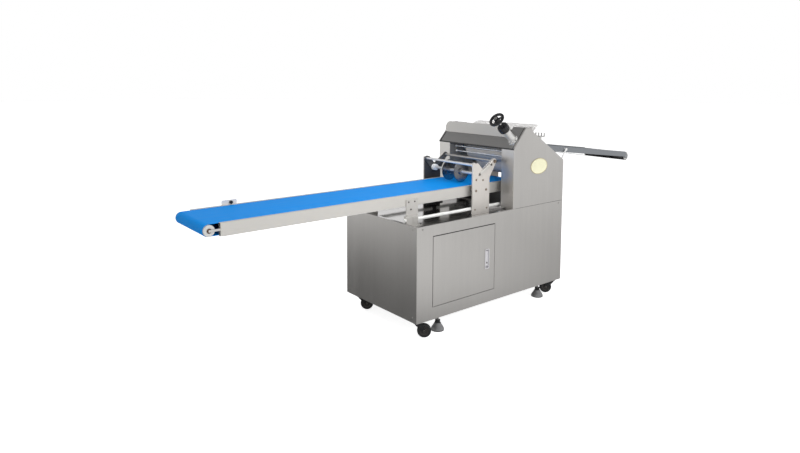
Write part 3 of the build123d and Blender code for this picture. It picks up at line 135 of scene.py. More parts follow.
class Finish:
    """One node material, built up from a Principled shader."""

    def __init__(self, name, colour, roughness, metallic=0.0, **constants):
        self.material = bpy.data.materials.new(name)
        self.material.use_nodes = True
        self.tree = self.material.node_tree
        self.shader = self.tree.nodes["Principled BSDF"]
        self.shader.inputs["Base Color"].default_value = (*colour, 1)
        self.shader.inputs["Roughness"].default_value = roughness
        self.shader.inputs["Metallic"].default_value = metallic
        for socket, value in constants.items():
            self.shader.inputs[socket.replace("_", " ")].default_value = value
        self.place = self.add("ShaderNodeTexCoord").outputs["Object"]

    def add(self, kind, inputs=(), **settings):
        return add_node(self.tree, kind, inputs, **settings)

    def noise(self, scale, detail=2, rough=0.5, stretch=NO_GRAIN):
        """Noise of that many grains in a metre, stretched by the axis."""
        mapped = self.add("ShaderNodeMapping", {"Vector": self.place, "Scale": stretch})
        spots = self.add("ShaderNodeTexNoise", {"Vector": mapped.outputs[0], "Scale": scale, "Detail": detail,
                                                "Roughness": rough})
        return spots.outputs["Fac"]

    def spread(self, value, low, high, start=0.3, end=0.7):
        """A value between start and end, as one between low and high."""
        node = self.add("ShaderNodeMapRange", {"Value": value, "From Min": start, "From Max": end,
                                               "To Min": low, "To Max": high})
        return node.outputs[0]

    def math(self, operation, a, b=0.0):
        return self.add("ShaderNodeMath", {0: a, 1: b}, operation=operation).outputs[0]

    def measure(self, operation, a, b):
        """One number from two vectors, such as the distance between them."""
        return self.add("ShaderNodeVectorMath", {0: a, 1: b}, operation=operation).outputs["Value"]

    def axes(self):
        """The place along X, Y and Z, each by its letter."""
        return self.add("ShaderNodeSeparateXYZ", {0: self.place}).outputs

    def mix(self, factor, first, second):
        """Colours first and second, mixed."""
        node = self.add("ShaderNodeMix", {0: factor, 6: first, 7: second}, data_type="RGBA")
        return node.outputs[2]

    def vary(self, value, colour, low, high):
        """A colour that goes from a low to a high factor with a value."""
        return self.mix(self.spread(value, 0, 1), shade(colour, low), shade(colour, high))

    def wear(self, tone, radius, amount, bare):
        """A colour that turns towards a bare one at sharp edges, and the normal rounded over those edges."""
        rounded = self.add("ShaderNodeBevel", {"Radius": radius}, samples=4).outputs[0]
        flat = self.add("ShaderNodeNewGeometry").outputs["Normal"]
        turn = self.measure("DOT_PRODUCT", rounded, flat)
        worn = self.spread(turn, 1, 0, 0.8, 0.99)
        return self.mix(self.math("MULTIPLY", worn, amount), tone, bare), rounded

    def bump(self, height, strength, distance, normal):
        inputs = {"Height": height, "Strength": strength, "Distance": distance, "Normal": normal}
        return self.add("ShaderNodeBump", inputs).outputs[0]

    def use(self, **sockets):
        for name, value in sockets.items():
            self.tree.links.new(value, self.shader.inputs[name.replace("_", " ")])
        return self.material


def brushed(name, colour, roughness, along=GRAIN_UPRIGHT, contrast=0.035, edge=0.0012, metallic=1,
            patch=None):
    """Sheet steel with a grain.

    A patch is an axis, the two places on it between which the steel changes, and then the
    colour, the metallic value and the added roughness that it changes to.
    """
    finish = Finish(name, colour, roughness, metallic)
    fine = finish.noise(900, 3, 0.6, along)
    broad = finish.noise(26, 2, 0.5, along)
    cloud = finish.noise(2.2, 2, 0.5)
    grain = finish.math("ADD", finish.math("MULTIPLY", fine, 0.75), finish.math("MULTIPLY", broad, 0.25))
    streak = finish.spread(grain, 0, 1, *STREAKS)
    tone = finish.mix(streak, shade(colour, 1 - contrast), shade(colour, 1 + contrast))
    tone = finish.mix(finish.spread(cloud, 0, 0.35), tone, shade(colour, 1 - 2 * contrast))
    dull = finish.math("ADD", finish.spread(grain, roughness - 0.05, roughness + 0.05, *STREAKS),
                       finish.spread(cloud, 0, 0.05))
    # Every patch used in this script is painted shade or painted light
    if patch:
        axis, first, last, patch_colour, patch_metallic, duller = patch
        spot = finish.axes()[axis.strip("|")]
        if axis == "|Y|":
            spot = finish.math("ABSOLUTE", spot)
        inside = finish.spread(spot, 0, 1, first, last)
        tone = finish.mix(inside, tone, (*patch_colour, 1))
        dull = finish.math("ADD", dull, finish.math("MULTIPLY", inside, duller))
        finish.use(Metallic=finish.spread(inside, metallic, patch_metallic, 0, 1))
    tone, rounded = finish.wear(tone, edge, 0.6, shade(colour, 1.35))
    return finish.use(Base_Color=tone, Roughness=dull, Normal=finish.bump(fine, 0.12, 0.0001, rounded))


def turned(name, colour, roughness, metallic=1):
    """Turned or drawn bar steel: fine rings round an axis along Y."""
    finish = Finish(name, colour, roughness, metallic)
    rings = finish.noise(1400, 2, 0.6, TURNED_RINGS)
    smear = finish.noise(30, 3, 0.6)
    tone = finish.vary(smear, colour, 0.93, 1.04)
    tone, rounded = finish.wear(tone, 0.0008, 0.5, shade(colour, 1.25))
    dull = finish.math("ADD", finish.spread(smear, roughness - 0.03, roughness + 0.06),
                       finish.spread(rings, -0.02, 0.04))
    return finish.use(Base_Color=tone, Roughness=dull, Normal=finish.bump(rings, 0.08, 0.00006, rounded))


def coated(name, colour):
    """Roller with a pale non-stick sleeve over its working width, and turned steel at its ends."""
    finish = Finish(name, colour, 0.3)
    rings = finish.noise(900, 2, 0.6, TURNED_RINGS)
    smear = finish.noise(24, 3, 0.6, (1, 0.3, 1))
    bare = finish.spread(finish.math("ABSOLUTE", finish.axes()["Y"]), 0, 1, *SLEEVE_END)
    tone = finish.vary(smear, colour, 0.94, 1.05)
    tone = finish.mix(bare, tone, (*ROLLER_END, 1))
    tone, rounded = finish.wear(tone, 0.001, 0.4, shade(colour, 1.3))
    dull = finish.math("ADD", finish.spread(smear, 0.26, 0.36), finish.spread(rings, -0.02, 0.04))
    return finish.use(Base_Color=tone, Roughness=dull, Metallic=bare,
                      Normal=finish.bump(rings, 0.08, 0.00006, rounded))


def tension(name, steel, block, bush):
    """Bright bar on a dark moulded block, with a bronze bush at its end."""
    finish = Finish(name, steel, 0.34)
    grain = finish.noise(700, 3, 0.6)
    rubbed = finish.noise(40, 3, 0.6)
    spot = finish.axes()
    outer = finish.spread(finish.math("ABSOLUTE", spot["Y"]), 0, 1, *BAR_FACE)
    above = finish.math("ABSOLUTE", finish.math("SUBTRACT", spot["Z"], BELT_AXIS))
    bar = finish.math("MULTIPLY", outer, finish.spread(above, 1, 0, *BAR_EDGE))
    bar = finish.math("MULTIPLY", bar, finish.spread(spot["X"], 0, 1, *BAR_TIP))
    eye = finish.spread(spot["X"], 1, 0, *EYE_END)
    tone = finish.mix(eye, (*block, 1), (*bush, 1))
    tone = finish.mix(bar, tone, finish.vary(rubbed, steel, 0.92, 1.05))
    tone, rounded = finish.wear(tone, 0.0008, 0.2, shade(steel, 1.2))
    return finish.use(Base_Color=tone, Metallic=finish.math("MAXIMUM", bar, eye),
                      Roughness=finish.spread(rubbed, 0.28, 0.42),
                      Normal=finish.bump(grain, 0.1, 0.0001, rounded))


def belt(name, colour, edge_colour):
    """Smooth conveyor belt with the weave of its carcass just showing, and light scuffs along its run."""
    finish = Finish(name, colour, 0.5, Specular_IOR_Level=0.04)
    weave = finish.add("ShaderNodeTexVoronoi", {"Vector": finish.place, "Scale": 650}).outputs["Distance"]
    scuffs = finish.noise(60, 4, 0.65, (0.06, 1, 1))
    cloud = finish.noise(3, 2, 0.5)
    tone = finish.vary(scuffs, colour, 0.94, 1.05)
    tone = finish.mix(finish.spread(cloud, 0, 0.5), tone, shade(colour, 0.94))
    tone, rounded = finish.wear(tone, 0.0016, 0.35, (*edge_colour, 1))
    dull = finish.spread(scuffs, 0.46, 0.58)
    return finish.use(Base_Color=tone, Roughness=dull, Normal=finish.bump(weave, 0.2, 0.00025, rounded))


def moulded(name, colour, roughness, grain=700):
    """Moulded plastic or rubber: a fine leathery skin, dull where it is handled."""
    finish = Finish(name, colour, roughness, Specular_IOR_Level=0.4)
    skin = finish.noise(grain, 3, 0.6)
    rubbed = finish.noise(22, 3, 0.6)
    lift = 0.35 if max(colour) < 0.3 else 0.03
    tone = finish.vary(rubbed, colour, 1 - lift / 2, 1 + lift)
    tone, rounded = finish.wear(tone, 0.001, 0.4, shade(colour, 1 + 3 * lift))
    dull = finish.spread(rubbed, roughness - 0.08, roughness + 0.1)
    return finish.use(Base_Color=tone, Roughness=dull, Normal=finish.bump(skin, 0.15, 0.0002, rounded))


def painted(name, colour, roughness):
    """Sprayed paint with a slight orange peel, thin on the edges."""
    finish = Finish(name, colour, roughness, Coat_Weight=0.25, Coat_Roughness=0.2)
    peel = finish.noise(260, 2, 0.5)
    cloud = finish.noise(5, 2, 0.5)
    tone = finish.vary(cloud, colour, 0.95, 1.04)
    tone, rounded = finish.wear(tone, 0.001, 0.35, shade(colour, 1.25))
    dull = finish.spread(peel, roughness - 0.04, roughness + 0.06)
    return finish.use(Base_Color=tone, Roughness=dull, Normal=finish.bump(peel, 0.12, 0.0004, rounded))


finishes = {
    "sheet": brushed("brushed_sheet", STAINLESS, 0.36, contrast=0.05),
    "level": brushed("brushed_level", STAINLESS, 0.34, GRAIN_ALONG),
    "hood": brushed("brushed_hood", (0.60, 0.59, 0.58), 0.34, GRAIN_ACROSS, 0.06),
    # The hopper's rear flare is painted paler and less metallic: painted light on that face
    "hopper": brushed("brushed_hopper", (0.53, 0.52, 0.50), 0.38, GRAIN_ACROSS, 0.06,
                      patch=("X", *REAR_FLARE_LIGHT, (0.80, 0.79, 0.78), 0.4, 0.1)),
    # Inside the tower the deck is painted near black and dull, as painted shade under the hood
    "deck": brushed("polished_deck", (0.56, 0.55, 0.545), 0.1, GRAIN_ALONG, 0.03,
                    patch=("X", *TOWER_INSIDE_SHADE, (0.02, 0.02, 0.022), 0, 0.6)),
    "rail": brushed("blasted_rail", (0.59, 0.575, 0.545), 0.5, GRAIN_ALONG, 0.04, metallic=0.4),
    "post": brushed("blasted_post", (0.55, 0.535, 0.51), 0.5, GRAIN_UPRIGHT, 0.04, metallic=0.4),
    # The cutter posts' inner faces are painted near black: painted shade for the dark that they face
    "cutter_post": brushed("cutter_post", (0.63, 0.60, 0.565), 0.5, GRAIN_UPRIGHT, 0.04, metallic=0.4,
                           patch=("|Y|", *POST_INSIDE_SHADE, (0.06, 0.06, 0.062), 0.4, 0)),
    "dark_plate": brushed("dark_plate", (0.27, 0.26, 0.245), 0.45, (1, 1, 0.02), 0.1, metallic=0.4),
    "trough": brushed("satin_trough", (0.295, 0.31, 0.33), 0.36, GRAIN_ALONG, 0.04),
    "polished": turned("polished_bar", BRIGHT, 0.16),
    "satin": turned("satin_bar", (0.76, 0.755, 0.76), 0.3, 0.7),
    "tie": turned("tie_rod_steel", (0.50, 0.485, 0.47), 0.34, 0.8),
    "disc": turned("disc_steel", (0.40, 0.405, 0.43), 0.2),
    "rods": turned("bright_rods", (0.86, 0.855, 0.85), 0.34, 0.3),
    # The swing frame's far arm is painted dark as painted shade; the near arm keeps the bright steel
    "swing": brushed("swing_frame_steel", (0.76, 0.755, 0.76), 0.34, GRAIN_ACROSS, 0.04, metallic=0.7,
                     patch=("Y", *FAR_ARM_SHADE, (0.12, 0.12, 0.122), 0.5, 0.1)),
    "chrome": brushed("satin_chrome", (0.86, 0.85, 0.875), 0.32, (1, 1, 0.05), 0.03, 0.0006),
    "sleeve": turned("satin_sleeve", (0.66, 0.655, 0.64), 0.36, 0.6),
    "dark_roller": coated("dark_coated_roller", (0.44, 0.415, 0.385)),
    "roller": coated("pale_coated_roller", (0.45, 0.445, 0.45)),
    "tension": tension("tension_bracket", (0.72, 0.71, 0.69), (0.01, 0.01, 0.011), (0.16, 0.085, 0.055)),
    "screw": brushed("screw_steel", (0.50, 0.49, 0.47), 0.3, NO_GRAIN, 0.08, 0.0004),
    "dark_screw": brushed("dark_screw_steel", (0.20, 0.185, 0.17), 0.34, NO_GRAIN, 0.12, 0.0004),
    "bolt": brushed("tarnished_bolt", (0.40, 0.325, 0.26), 0.34, NO_GRAIN, 0.12, 0.0004),
    "brass": brushed("pale_brass", (0.70, 0.62, 0.40), 0.3, NO_GRAIN, 0.06, 0.0004),
    "machined": brushed("machined_steel", (0.42, 0.415, 0.40), 0.38, (1, 0.02, 1)),
    "zinc": brushed("zinc_plate", (0.50, 0.50, 0.49), 0.36, NO_GRAIN, 0.1, 0.0006),
    "iron": painted("bearing_paint", (0.10, 0.13, 0.15), 0.45),
    "motor": painted("motor_paint", (0.33, 0.35, 0.36), 0.42),
    "box": painted("box_paint", (0.62, 0.63, 0.60), 0.4),
    "cream": painted("cream_enamel", (0.72, 0.70, 0.49), 0.35),
    "blue": belt("blue_belt", (0.002, 0.26, 0.77), (0.25, 0.55, 0.92)),
    "dark_belt": belt("dark_belt", (0.016, 0.02, 0.029), (0.05, 0.055, 0.07)),
    "guide": moulded("white_guide", (0.80, 0.80, 0.785), 0.4, 300),
    "nylon": moulded("white_nylon", (0.92, 0.91, 0.885), 0.4, 300),
    "pale": moulded("pale_bracket", (0.66, 0.645, 0.635), 0.45, 300),
    "hub": moulded("brown_hub", (0.030, 0.026, 0.024), 0.42, 500),
    "foot": brushed("foot_steel", (0.26, 0.26, 0.265), 0.4, NO_GRAIN, 0.12, 0.0008, 0.6),
    "black": moulded("black_plastic", (0.012, 0.012, 0.013), 0.32),
    "gloss": moulded("black_bakelite", (0.008, 0.008, 0.009), 0.18, 120),
    "tyre": moulded("black_tyre", (0.016, 0.016, 0.017), 0.5, 500),
    "grey_pad": moulded("grey_pad", (0.17, 0.175, 0.18), 0.48, 420),
}

CORNERS = [f"{side}_{end}" for side in ("near", "far") for end in ("left", "right")]

node_finish = {
    "sheet": ["cabinet_shell", "door", "near_housing_cover", "far_housing_cover"],
    "level": ["floor_plate", "slider_bed"],
    "hood": ["hood"],
    "hopper": ["hopper"],
    "deck": ["top_deck"],
    "rail": ["near_conveyor_rail", "far_conveyor_rail"],
    "post": ["conveyor_posts"],
    "cutter_post": ["near_cutter_post", "far_cutter_post"],
    "dark_plate": ["near_frame_plate", "far_frame_plate", "roller_yoke"],
    "trough": ["infeed_trough"],
    "sleeve": ["spindle_sleeve", "tail_roller"],
    "chrome": ["latch_housing", "latch_handle"],
    "tension": ["tension_brackets"],
    "guide": ["guide_bars"],
    "pale": ["sensor_bracket"],
    "polished": ["finger_guard", "adjusting_screw"],
    "rods": ["infeed_stays"],
    "satin": ["cutter_shaft"],
    "tie": ["rear_tie_rod"],
    "disc": ["cutter_discs"],
    "swing": ["cutter_swing_frame"],
    "dark_roller": ["upper_press_roller"],
    "roller": ["lower_press_roller", "belt_drive_roller", "infeed_head_roller", "infeed_tail_roller"],
    "machined": ["base_frame", "motor_sprocket", "drive_chain"],
    "iron": ["roller_bearings"],
    "motor": ["gear_motor"],
    "box": ["control_box"],
    "blue": ["conveyor_belt"],
    "dark_belt": ["infeed_belt"],
    "black": ["position_counter", "sensor_eye", *(corner + "_caster_fork" for corner in CORNERS)],
    "gloss": ["handwheel"],
    "tyre": [corner + "_caster_wheel" for corner in CORNERS],
    "grey_pad": [corner + "_levelling_foot" for corner in CORNERS],
}
for finish_name, node_names in node_finish.items():
    for node_name in node_names:
        slots = nodes[node_name].data.materials
        slots.clear()
        slots.append(finishes[finish_name])


# Pieces that the CAD leaves out, or that stand in finer form for a CAD node

FACE_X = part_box("cabinet_shell")[0][0]
DECK_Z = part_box("top_deck")[1][2]
MM = 0.001
NEAR = Vector((0, -1, 0))
FAR = Vector((0, 1, 0))
LEFT = Vector((-1, 0, 0))
RIGHT = Vector((1, 0, 0))
UP = Vector((0, 0, 1))

# Distance below which points of one piece are joined, in metres
WELD = 1e-6

# How far the middle of a rounded rim lies inside the sharp corner, in parts of the rim's radius
RIM_MIDDLE = 0.22539

# Sizes of the CAD that pieces follow, in millimetres
CABINET_LENGTH = 1420
HALF_WIDTH = 375
POST_FACE = 215
CUTTER_POST_FACE = 254
TIE_ROD_END = 256
CASTER_HEADING = -39
CASTER_TRAIL = 40

# Height of the door leaf's top edge, in metres
GROUND_CLEARANCE = 0.108
DOOR_BOTTOM = 0.078
DOOR_HEIGHT = 0.448
DOOR_GAP = 0.003
DOOR_TOP = GROUND_CLEARANCE + DOOR_BOTTOM + DOOR_HEIGHT - DOOR_GAP

# Profiles of screws and nuts in parts of their radius: radius, height and the number of flats
SCREW_SEGMENTS = 24
BUTTON_HEAD = [(1, 0), (1, 0.12), (0.93, 0.3), (0.76, 0.45), (0.54, 0.55), (0.47, 0.55), (0.44, 0.52, 6),
               (0.42, 0.18, 6), (0, 0.12)]
HEXAGON_HEAD = [(1.45, 0), (1.45, 0.14), (1.38, 0.2), (1, 0.2, 6), (1, 0.72, 6), (0.84, 0.84), (0, 0.88)]
STUD_NUT = [(1.45, 0), (1.45, 0.16), (1.38, 0.22), (1, 0.22, 6), (1, 1.0, 6), (0.84, 1.12), (0.55, 1.12),
            (0.55, 1.5), (0.47, 1.6), (0, 1.6)]


def add_object(name, mesh_or_data):
    made = bpy.data.objects.new(name, mesh_or_data)
    bpy.context.scene.collection.objects.link(made)
    return made


def at(station, across, height):
    """A place in millimetres from the cabinet's left face, its middle and its deck."""
    return Vector((FACE_X + station * MM, across * MM, DECK_Z + height * MM))


def angles(steps):
    """That many angles round a full turn."""
    return [2 * math.pi * step / steps for step in range(steps)]


def round_axis(axis, angle):
    """The direction square to an axis that lies at an angle round it."""
    side = axis.orthogonal().normalized()
    return side * math.cos(angle) + axis.cross(side) * math.sin(angle)


def polygon_radius(radius, sides, angle):
    """Distance from the middle to the side of a regular polygon with that corner radius."""
    if not sides:
        return radius
    step = 2 * math.pi / sides
    turn = angle % step - step / 2
    return radius * math.cos(step / 2) / math.cos(turn)


def loft(mesh, rings, slot=0):
    """Joins each ring of points to the next. A ring of one point is a tip."""
    for low, high in zip(rings, rings[1:]):
        steps = max(len(low), len(high))
        for step in range(steps):
            after = (step + 1) % steps
            if len(low) == 1:
                corners = (low[0], high[after], high[step])
            elif len(high) == 1:
                corners = (low[step], low[after], high[0])
            else:
                corners = (low[step], low[after], high[after], high[step])
            mesh.faces.new(corners).material_index = slot


def solid_loft(mesh, rings, slot=0):
    """Joins rings of points, and closes the first and the last."""
    loft(mesh, rings, slot)
    mesh.faces.new(rings[0]).material_index = slot
    mesh.faces.new(rings[-1]).material_index = slot


def lathe(mesh, profile, place, axis, segments, slot=0):
    """Turns a profile of (radius, along) or (radius, along, sides), in millimetres, round an axis."""
    axis = Vector(axis).normalized()
    rings = []
    for radius, along, *sides in profile:
        middle = place + axis * along * MM
        if radius == 0:
            rings.append([mesh.verts.new(middle)])
            continue
        ring = []
        for angle in angles(segments):
            out = polygon_radius(radius, sides[0] if sides else 0, angle) * MM
            ring.append(mesh.verts.new(middle + round_axis(axis, angle) * out))
        rings.append(ring)
    loft(mesh, rings, slot)


def arc(middle, radius, start, end, steps):
    """Profile points on an arc, with angles in degrees."""
    points = []
    for step in range(steps + 1):
        angle = math.radians(start + (end - start) * step / steps)
        points.append((middle[0] + radius * math.cos(angle), middle[1] + radius * math.sin(angle)))
    return points


def shift(ways, distance):
    """Move of a corner when the sides that meet in it, along these ways, move to their left by a distance."""
    sides = [Vector((-way.y, way.x)).normalized() for way in ways if way.length > 0]
    out = sum(sides, Vector((0, 0))).normalized()
    return out * distance / out.dot(sides[0])


def plate(mesh, outline, place, across, up, thickness, rim):
    """A flat plate with a rounded front rim, from an outline in millimetres that turns left."""
    out = across.cross(up)
    middle = RIM_MIDDLE * rim
    rings = []
    for inset, depth in ((0, thickness), (0, rim), (middle, middle), (rim, 0)):
        ring = []
        for spot, corner in enumerate(outline):
            here = Vector(corner)
            before = Vector(outline[spot - 1])
            after = Vector(outline[(spot + 1) % len(outline)])
            u, v = here + shift((here - before, after - here), inset)
            ring.append(mesh.verts.new(place + (across * u + up * v + out * (thickness - depth)) * MM))
        rings.append(ring)
    solid_loft(mesh, rings)


def folded_strip(mesh, path, low, high, thickness, slot):
    """Strip between two side places along a path of (station, height), with a thickness on its outer side."""
    rings = []
    for spot, (station, height) in enumerate(path):
        before = Vector(path[max(spot - 1, 0)])
        after = Vector(path[min(spot + 1, len(path) - 1)])
        here = Vector((station, height))
        out = shift((here - before, after - here), thickness)
        rings.append([mesh.verts.new(at(station + step * out.x, across, height + step * out.y))
                      for step, across in ((0, low), (0, high), (1, high), (1, low))])
    solid_loft(mesh, rings, slot)


def screw(mesh, shape, place, axis, radius, slot=0):
    """Screw head or nut of a radius in millimetres."""
    profile = [(radius * out, radius * along, *sides) for out, along, *sides in shape]
    lathe(mesh, profile, place, axis, SCREW_SEGMENTS, slot)


def piece(name, mesh, body, finish_names, stands_for=(), sharp=32):
    """Closes a mesh into an object that rides on a body."""
    bmesh.ops.recalc_face_normals(mesh, faces=mesh.faces)
    data = bpy.data.meshes.new(name)
    mesh.to_mesh(data)
    mesh.free()
    for finish_name in finish_names:
        data.materials.append(finishes[finish_name])
    data.shade_smooth()
    data.set_sharp_from_angle(angle=math.radians(sharp))
    made = add_object(name, data)
    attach(made, body)
    if stands_for:
        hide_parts(*stands_for)


def cabinet_screws():
    """Small screws that hold the shell's corners to the frame."""
    mesh = bmesh.new()
    radius = 5
    top, bottom = -20, -569
    for station in (47, 1373):
        screw(mesh, BUTTON_HEAD, at(station, -HALF_WIDTH, top), NEAR, radius)
    for station, outward in ((0, LEFT), (CABINET_LENGTH, RIGHT)):
        for across in (-337, 337):
            for height in (top, bottom):
                screw(mesh, BUTTON_HEAD, at(station, across, height), outward, radius)
    piece("cabinet_screws", mesh, "machine", ["screw"])


def oval_plate():
    """Blank enamelled oval with a raised rim on the near cover."""
    mesh = bmesh.new()
    middle = at(1137, -HALF_WIDTH, 276)
    half_width, half_height = 92, 57
    rim = [(1, 0), (1, 1.6), (0.99, 2.1), (0.965, 2.2), (0.945, 2.1), (0.94, 1.5), (0.93, 1.3)]
    rings = []
    for part, out in rim:
        ring = []
        for angle in angles(96):
            spot = Vector((half_width * part * math.cos(angle), -out, half_height * part * math.sin(angle)))
            ring.append(mesh.verts.new(middle + spot * MM))
        rings.append(ring)
    loft(mesh, rings)
    mesh.faces.new(rings[-1]).material_index = 1
    piece("oval_plate", mesh, "machine", ["brass", "cream"])


# Thickness adjuster, square to the hood's slope, in millimetres
BROW_STATION = 868
BROW_HEIGHT = 415
BROW_RUN = 120
CREST_HEIGHT = 553
SPINDLE_UP_HOOD = 70
SPINDLE_SIDE = -325
COUNTER_START = 94
WHEEL_CENTRE = 229
HOOD_ANGLE = math.atan2(CREST_HEIGHT - BROW_HEIGHT, BROW_RUN)
SPINDLE = Vector((-math.sin(HOOD_ANGLE), 0, math.cos(HOOD_ANGLE)))
SPINDLE_FOOT = at(BROW_STATION + SPINDLE_UP_HOOD * math.cos(HOOD_ANGLE), SPINDLE_SIDE,
                  BROW_HEIGHT + SPINDLE_UP_HOOD * math.sin(HOOD_ANGLE))


def handwheel():
    """Three-spoke moulded handwheel with a nut on its screw."""
    mesh = bmesh.new()
    middle = SPINDLE_FOOT + SPINDLE * WHEEL_CENTRE * MM
    rim = [(45.6 + 10.4 * across, 9 * along) for across, along in arc((0, 0), 1, 0, 360, 22)]
    lathe(mesh, rim, middle, SPINDLE, 72)
    hub = [(8.1, -16.5), (15, -16.5), *arc((16, -13.5), 3, -90, 0, 4), (17.5, 4),
           *arc((14.5, 13), 3, 0, 90, 4), (8.1, 16)]
    lathe(mesh, hub, middle, SPINDLE, 40)
    for spoke in range(3):
        out = round_axis(SPINDLE, 2 * math.pi * spoke / 3 + math.pi / 2)
        flank = SPINDLE.cross(out)
        rings = []
        for reach, wide, deep in ((14, 8.6, 7.4), (20, 7.4, 6.4), (28, 6.8, 5.8), (35, 7, 5.8), (41, 8, 6.2)):
            ring = []
            for angle in angles(20):
                spot = out * reach + flank * wide * math.cos(angle) + SPINDLE * deep * math.sin(angle)
                ring.append(mesh.verts.new(middle + spot * MM))
            rings.append(ring)
        loft(mesh, rings)
    bmesh.ops.remove_doubles(mesh, verts=mesh.verts, dist=WELD)
    piece("moulded_handwheel", mesh, "handwheel", ["gloss"], ["handwheel"], 50)
    mesh = bmesh.new()
    nut = [(13, 16), (13, 16.3), (8.6, 16.4), (9.2, 16.4, 6), (9.2, 16.9, 6), (0, 16.9)]
    lathe(mesh, nut, middle, SPINDLE, 24)
    piece("handwheel_nut", mesh, "handwheel", ["zinc"])


def position_counter():
    """Ribbed counter housing with a steel foot and a sunk ring in its upper side."""
    mesh = bmesh.new()
    foot = SPINDLE_FOOT + SPINDLE * COUNTER_START * MM
    ribs = 14
    rib_shape = (0, 0, 0.3, 1.8, 2.4, 1.8)
    shape = [(9, 0, 0), (25.5, 0, 0), (26, 0.5, 0), (26, 17.5, 0), (29, 18, 0), (33, 19, 0), (36, 21.5, 0),
             (38.2, 26, 1), (38.8, 30, 1), (38.8, 54, 1), (38.2, 58, 1), (36.5, 62, 0), (33.5, 65, 0),
             (29, 66.5, 0), (27, 66.5, 0), (26, 65.6, 0), (19, 65.6, 0), (17.5, 66.5, 0), (17.5, 77, 0),
             (16.5, 78, 0), (9, 78, 0)]
    foot_ring = 3
    rings = []
    for radius, along, ribbed in shape:
        ring = []
        for step, angle in enumerate(angles(ribs * len(rib_shape))):
            groove = rib_shape[step % len(rib_shape)] * ribbed
            spot = round_axis(SPINDLE, angle) * (radius - groove) + SPINDLE * along
            ring.append(mesh.verts.new(foot + spot * MM))
        rings.append(ring)
    loft(mesh, rings[:foot_ring + 1], 1)
    loft(mesh, rings[foot_ring:], 0)
    piece("counter_housing", mesh, "machine", ["black", "sleeve"], ["position_counter"], 40)


def sleeve_bolts():
    """Four screws in the flange of the adjuster's sleeve."""
    mesh = bmesh.new()
    flange_top = 9
    bolt_circle = 31
    for turn in (45, 135, 225, 315):
        out = round_axis(SPINDLE, math.radians(turn))
        place = SPINDLE_FOOT + (SPINDLE * flange_top + out * bolt_circle) * MM
        screw(mesh, BUTTON_HEAD, place, SPINDLE, 4.2)
    piece("sleeve_bolts", mesh, "machine", ["dark_screw"])


def latch_lock():
    """Lock cylinder in the latch's handle."""
    mesh = bmesh.new()
    low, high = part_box("latch_handle")
    rise = 0.02
    place = Vector(((low[0] + high[0]) / 2, low[1], low[2] + rise))
    lathe(mesh, [(7.4, 0), (7.4, 1.2), (6.9, 1.8), (6.2, 1.9), (5.9, 1.5)], place, NEAR, 40, 0)
    lathe(mesh, [(5.9, 1.5), (2.6, 1.5), (2.4, 0.9), (0, 0.9)], place, NEAR, 40, 1)
    piece("latch_lock", mesh, "latch_handle", ["chrome", "dark_screw"])


def hood_trim():
    """Black strip on the hood's lip; along the hood, each cover's folded edge with a black strip of painted
    shade for the gap beside it.
    """
    mesh = bmesh.new()
    slope = [(866, 416), (986.5, 555), (1046, 555)]
    lip = [(866, 407), (866, 416)]
    outer, fold, shade_strip_edge = 374.5, 365, 359
    for side in (-1, 1):
        folded_strip(mesh, slope, *sorted((side * outer, side * fold)), 1.6, 0)
        # Black strip beside the fold: painted shade for the gap between cover and hood
        folded_strip(mesh, slope, *sorted((side * fold, side * shade_strip_edge)), 1.0, 1)
    folded_strip(mesh, lip, -outer, outer, 3, 1)
    piece("hood_trim", mesh, "machine", ["sheet", "black"])


def guard_rods():
    """Two round bars across the opening in front of the upper roller, with a collar at each frame plate."""
    mesh = bmesh.new()
    half_rod = [(4, 260.4), (8.2, 260.4), (8.2, 252.5), (7.6, 252), (4, 252), (4, 0)]
    for station, height in ((934, 380), (938, 343)):
        for side in (-1, 1):
            lathe(mesh, half_rod, at(station, 0, height), FAR * side, 24)
    bmesh.ops.remove_doubles(mesh, verts=mesh.verts, dist=WELD)
    piece("mouth_guard_rods", mesh, "machine", ["rods"])


def door_gap_shade_strip():
    """Black strip on the sheet above the door: painted shade for the shadow in the door's top gap."""
    low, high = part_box("door")
    section = [(-1.3, 0.5), (-1.6, 0.8), (-1.6, 5.4), (-1.2, 5.8), (-0.05, 5.8), (-0.05, 2.8), (1.7, 2.8),
               (1.7, 0.5)]
    mesh = bmesh.new()
    rings = []
    for place in (low[0], high[0]):
        ring = []
        for across, height in section:
            ring.append(mesh.verts.new(Vector((place, low[1] + across * MM, DOOR_TOP + height * MM))))
        rings.append(ring)
    solid_loft(mesh, rings)
    piece("door_gap_shade", mesh, "machine", ["tyre"])


def under_cover():
    """Folded sheet that closes the underside of the discharge conveyor between its rails."""
    mesh = bmesh.new()
    section = [(-205, 97), (-205, 95.8), (-204, 94.6), (204, 94.6), (205, 95.8), (205, 97), (203.6, 97),
               (203.6, 96), (-203.6, 96), (-203.6, 97)]
    rings = []
    for station in (-1130, 1030):
        rings.append([mesh.verts.new(at(station, across, height)) for across, height in section])
    solid_loft(mesh, rings)
    piece("conveyor_under_cover", mesh, "machine", ["nylon"])


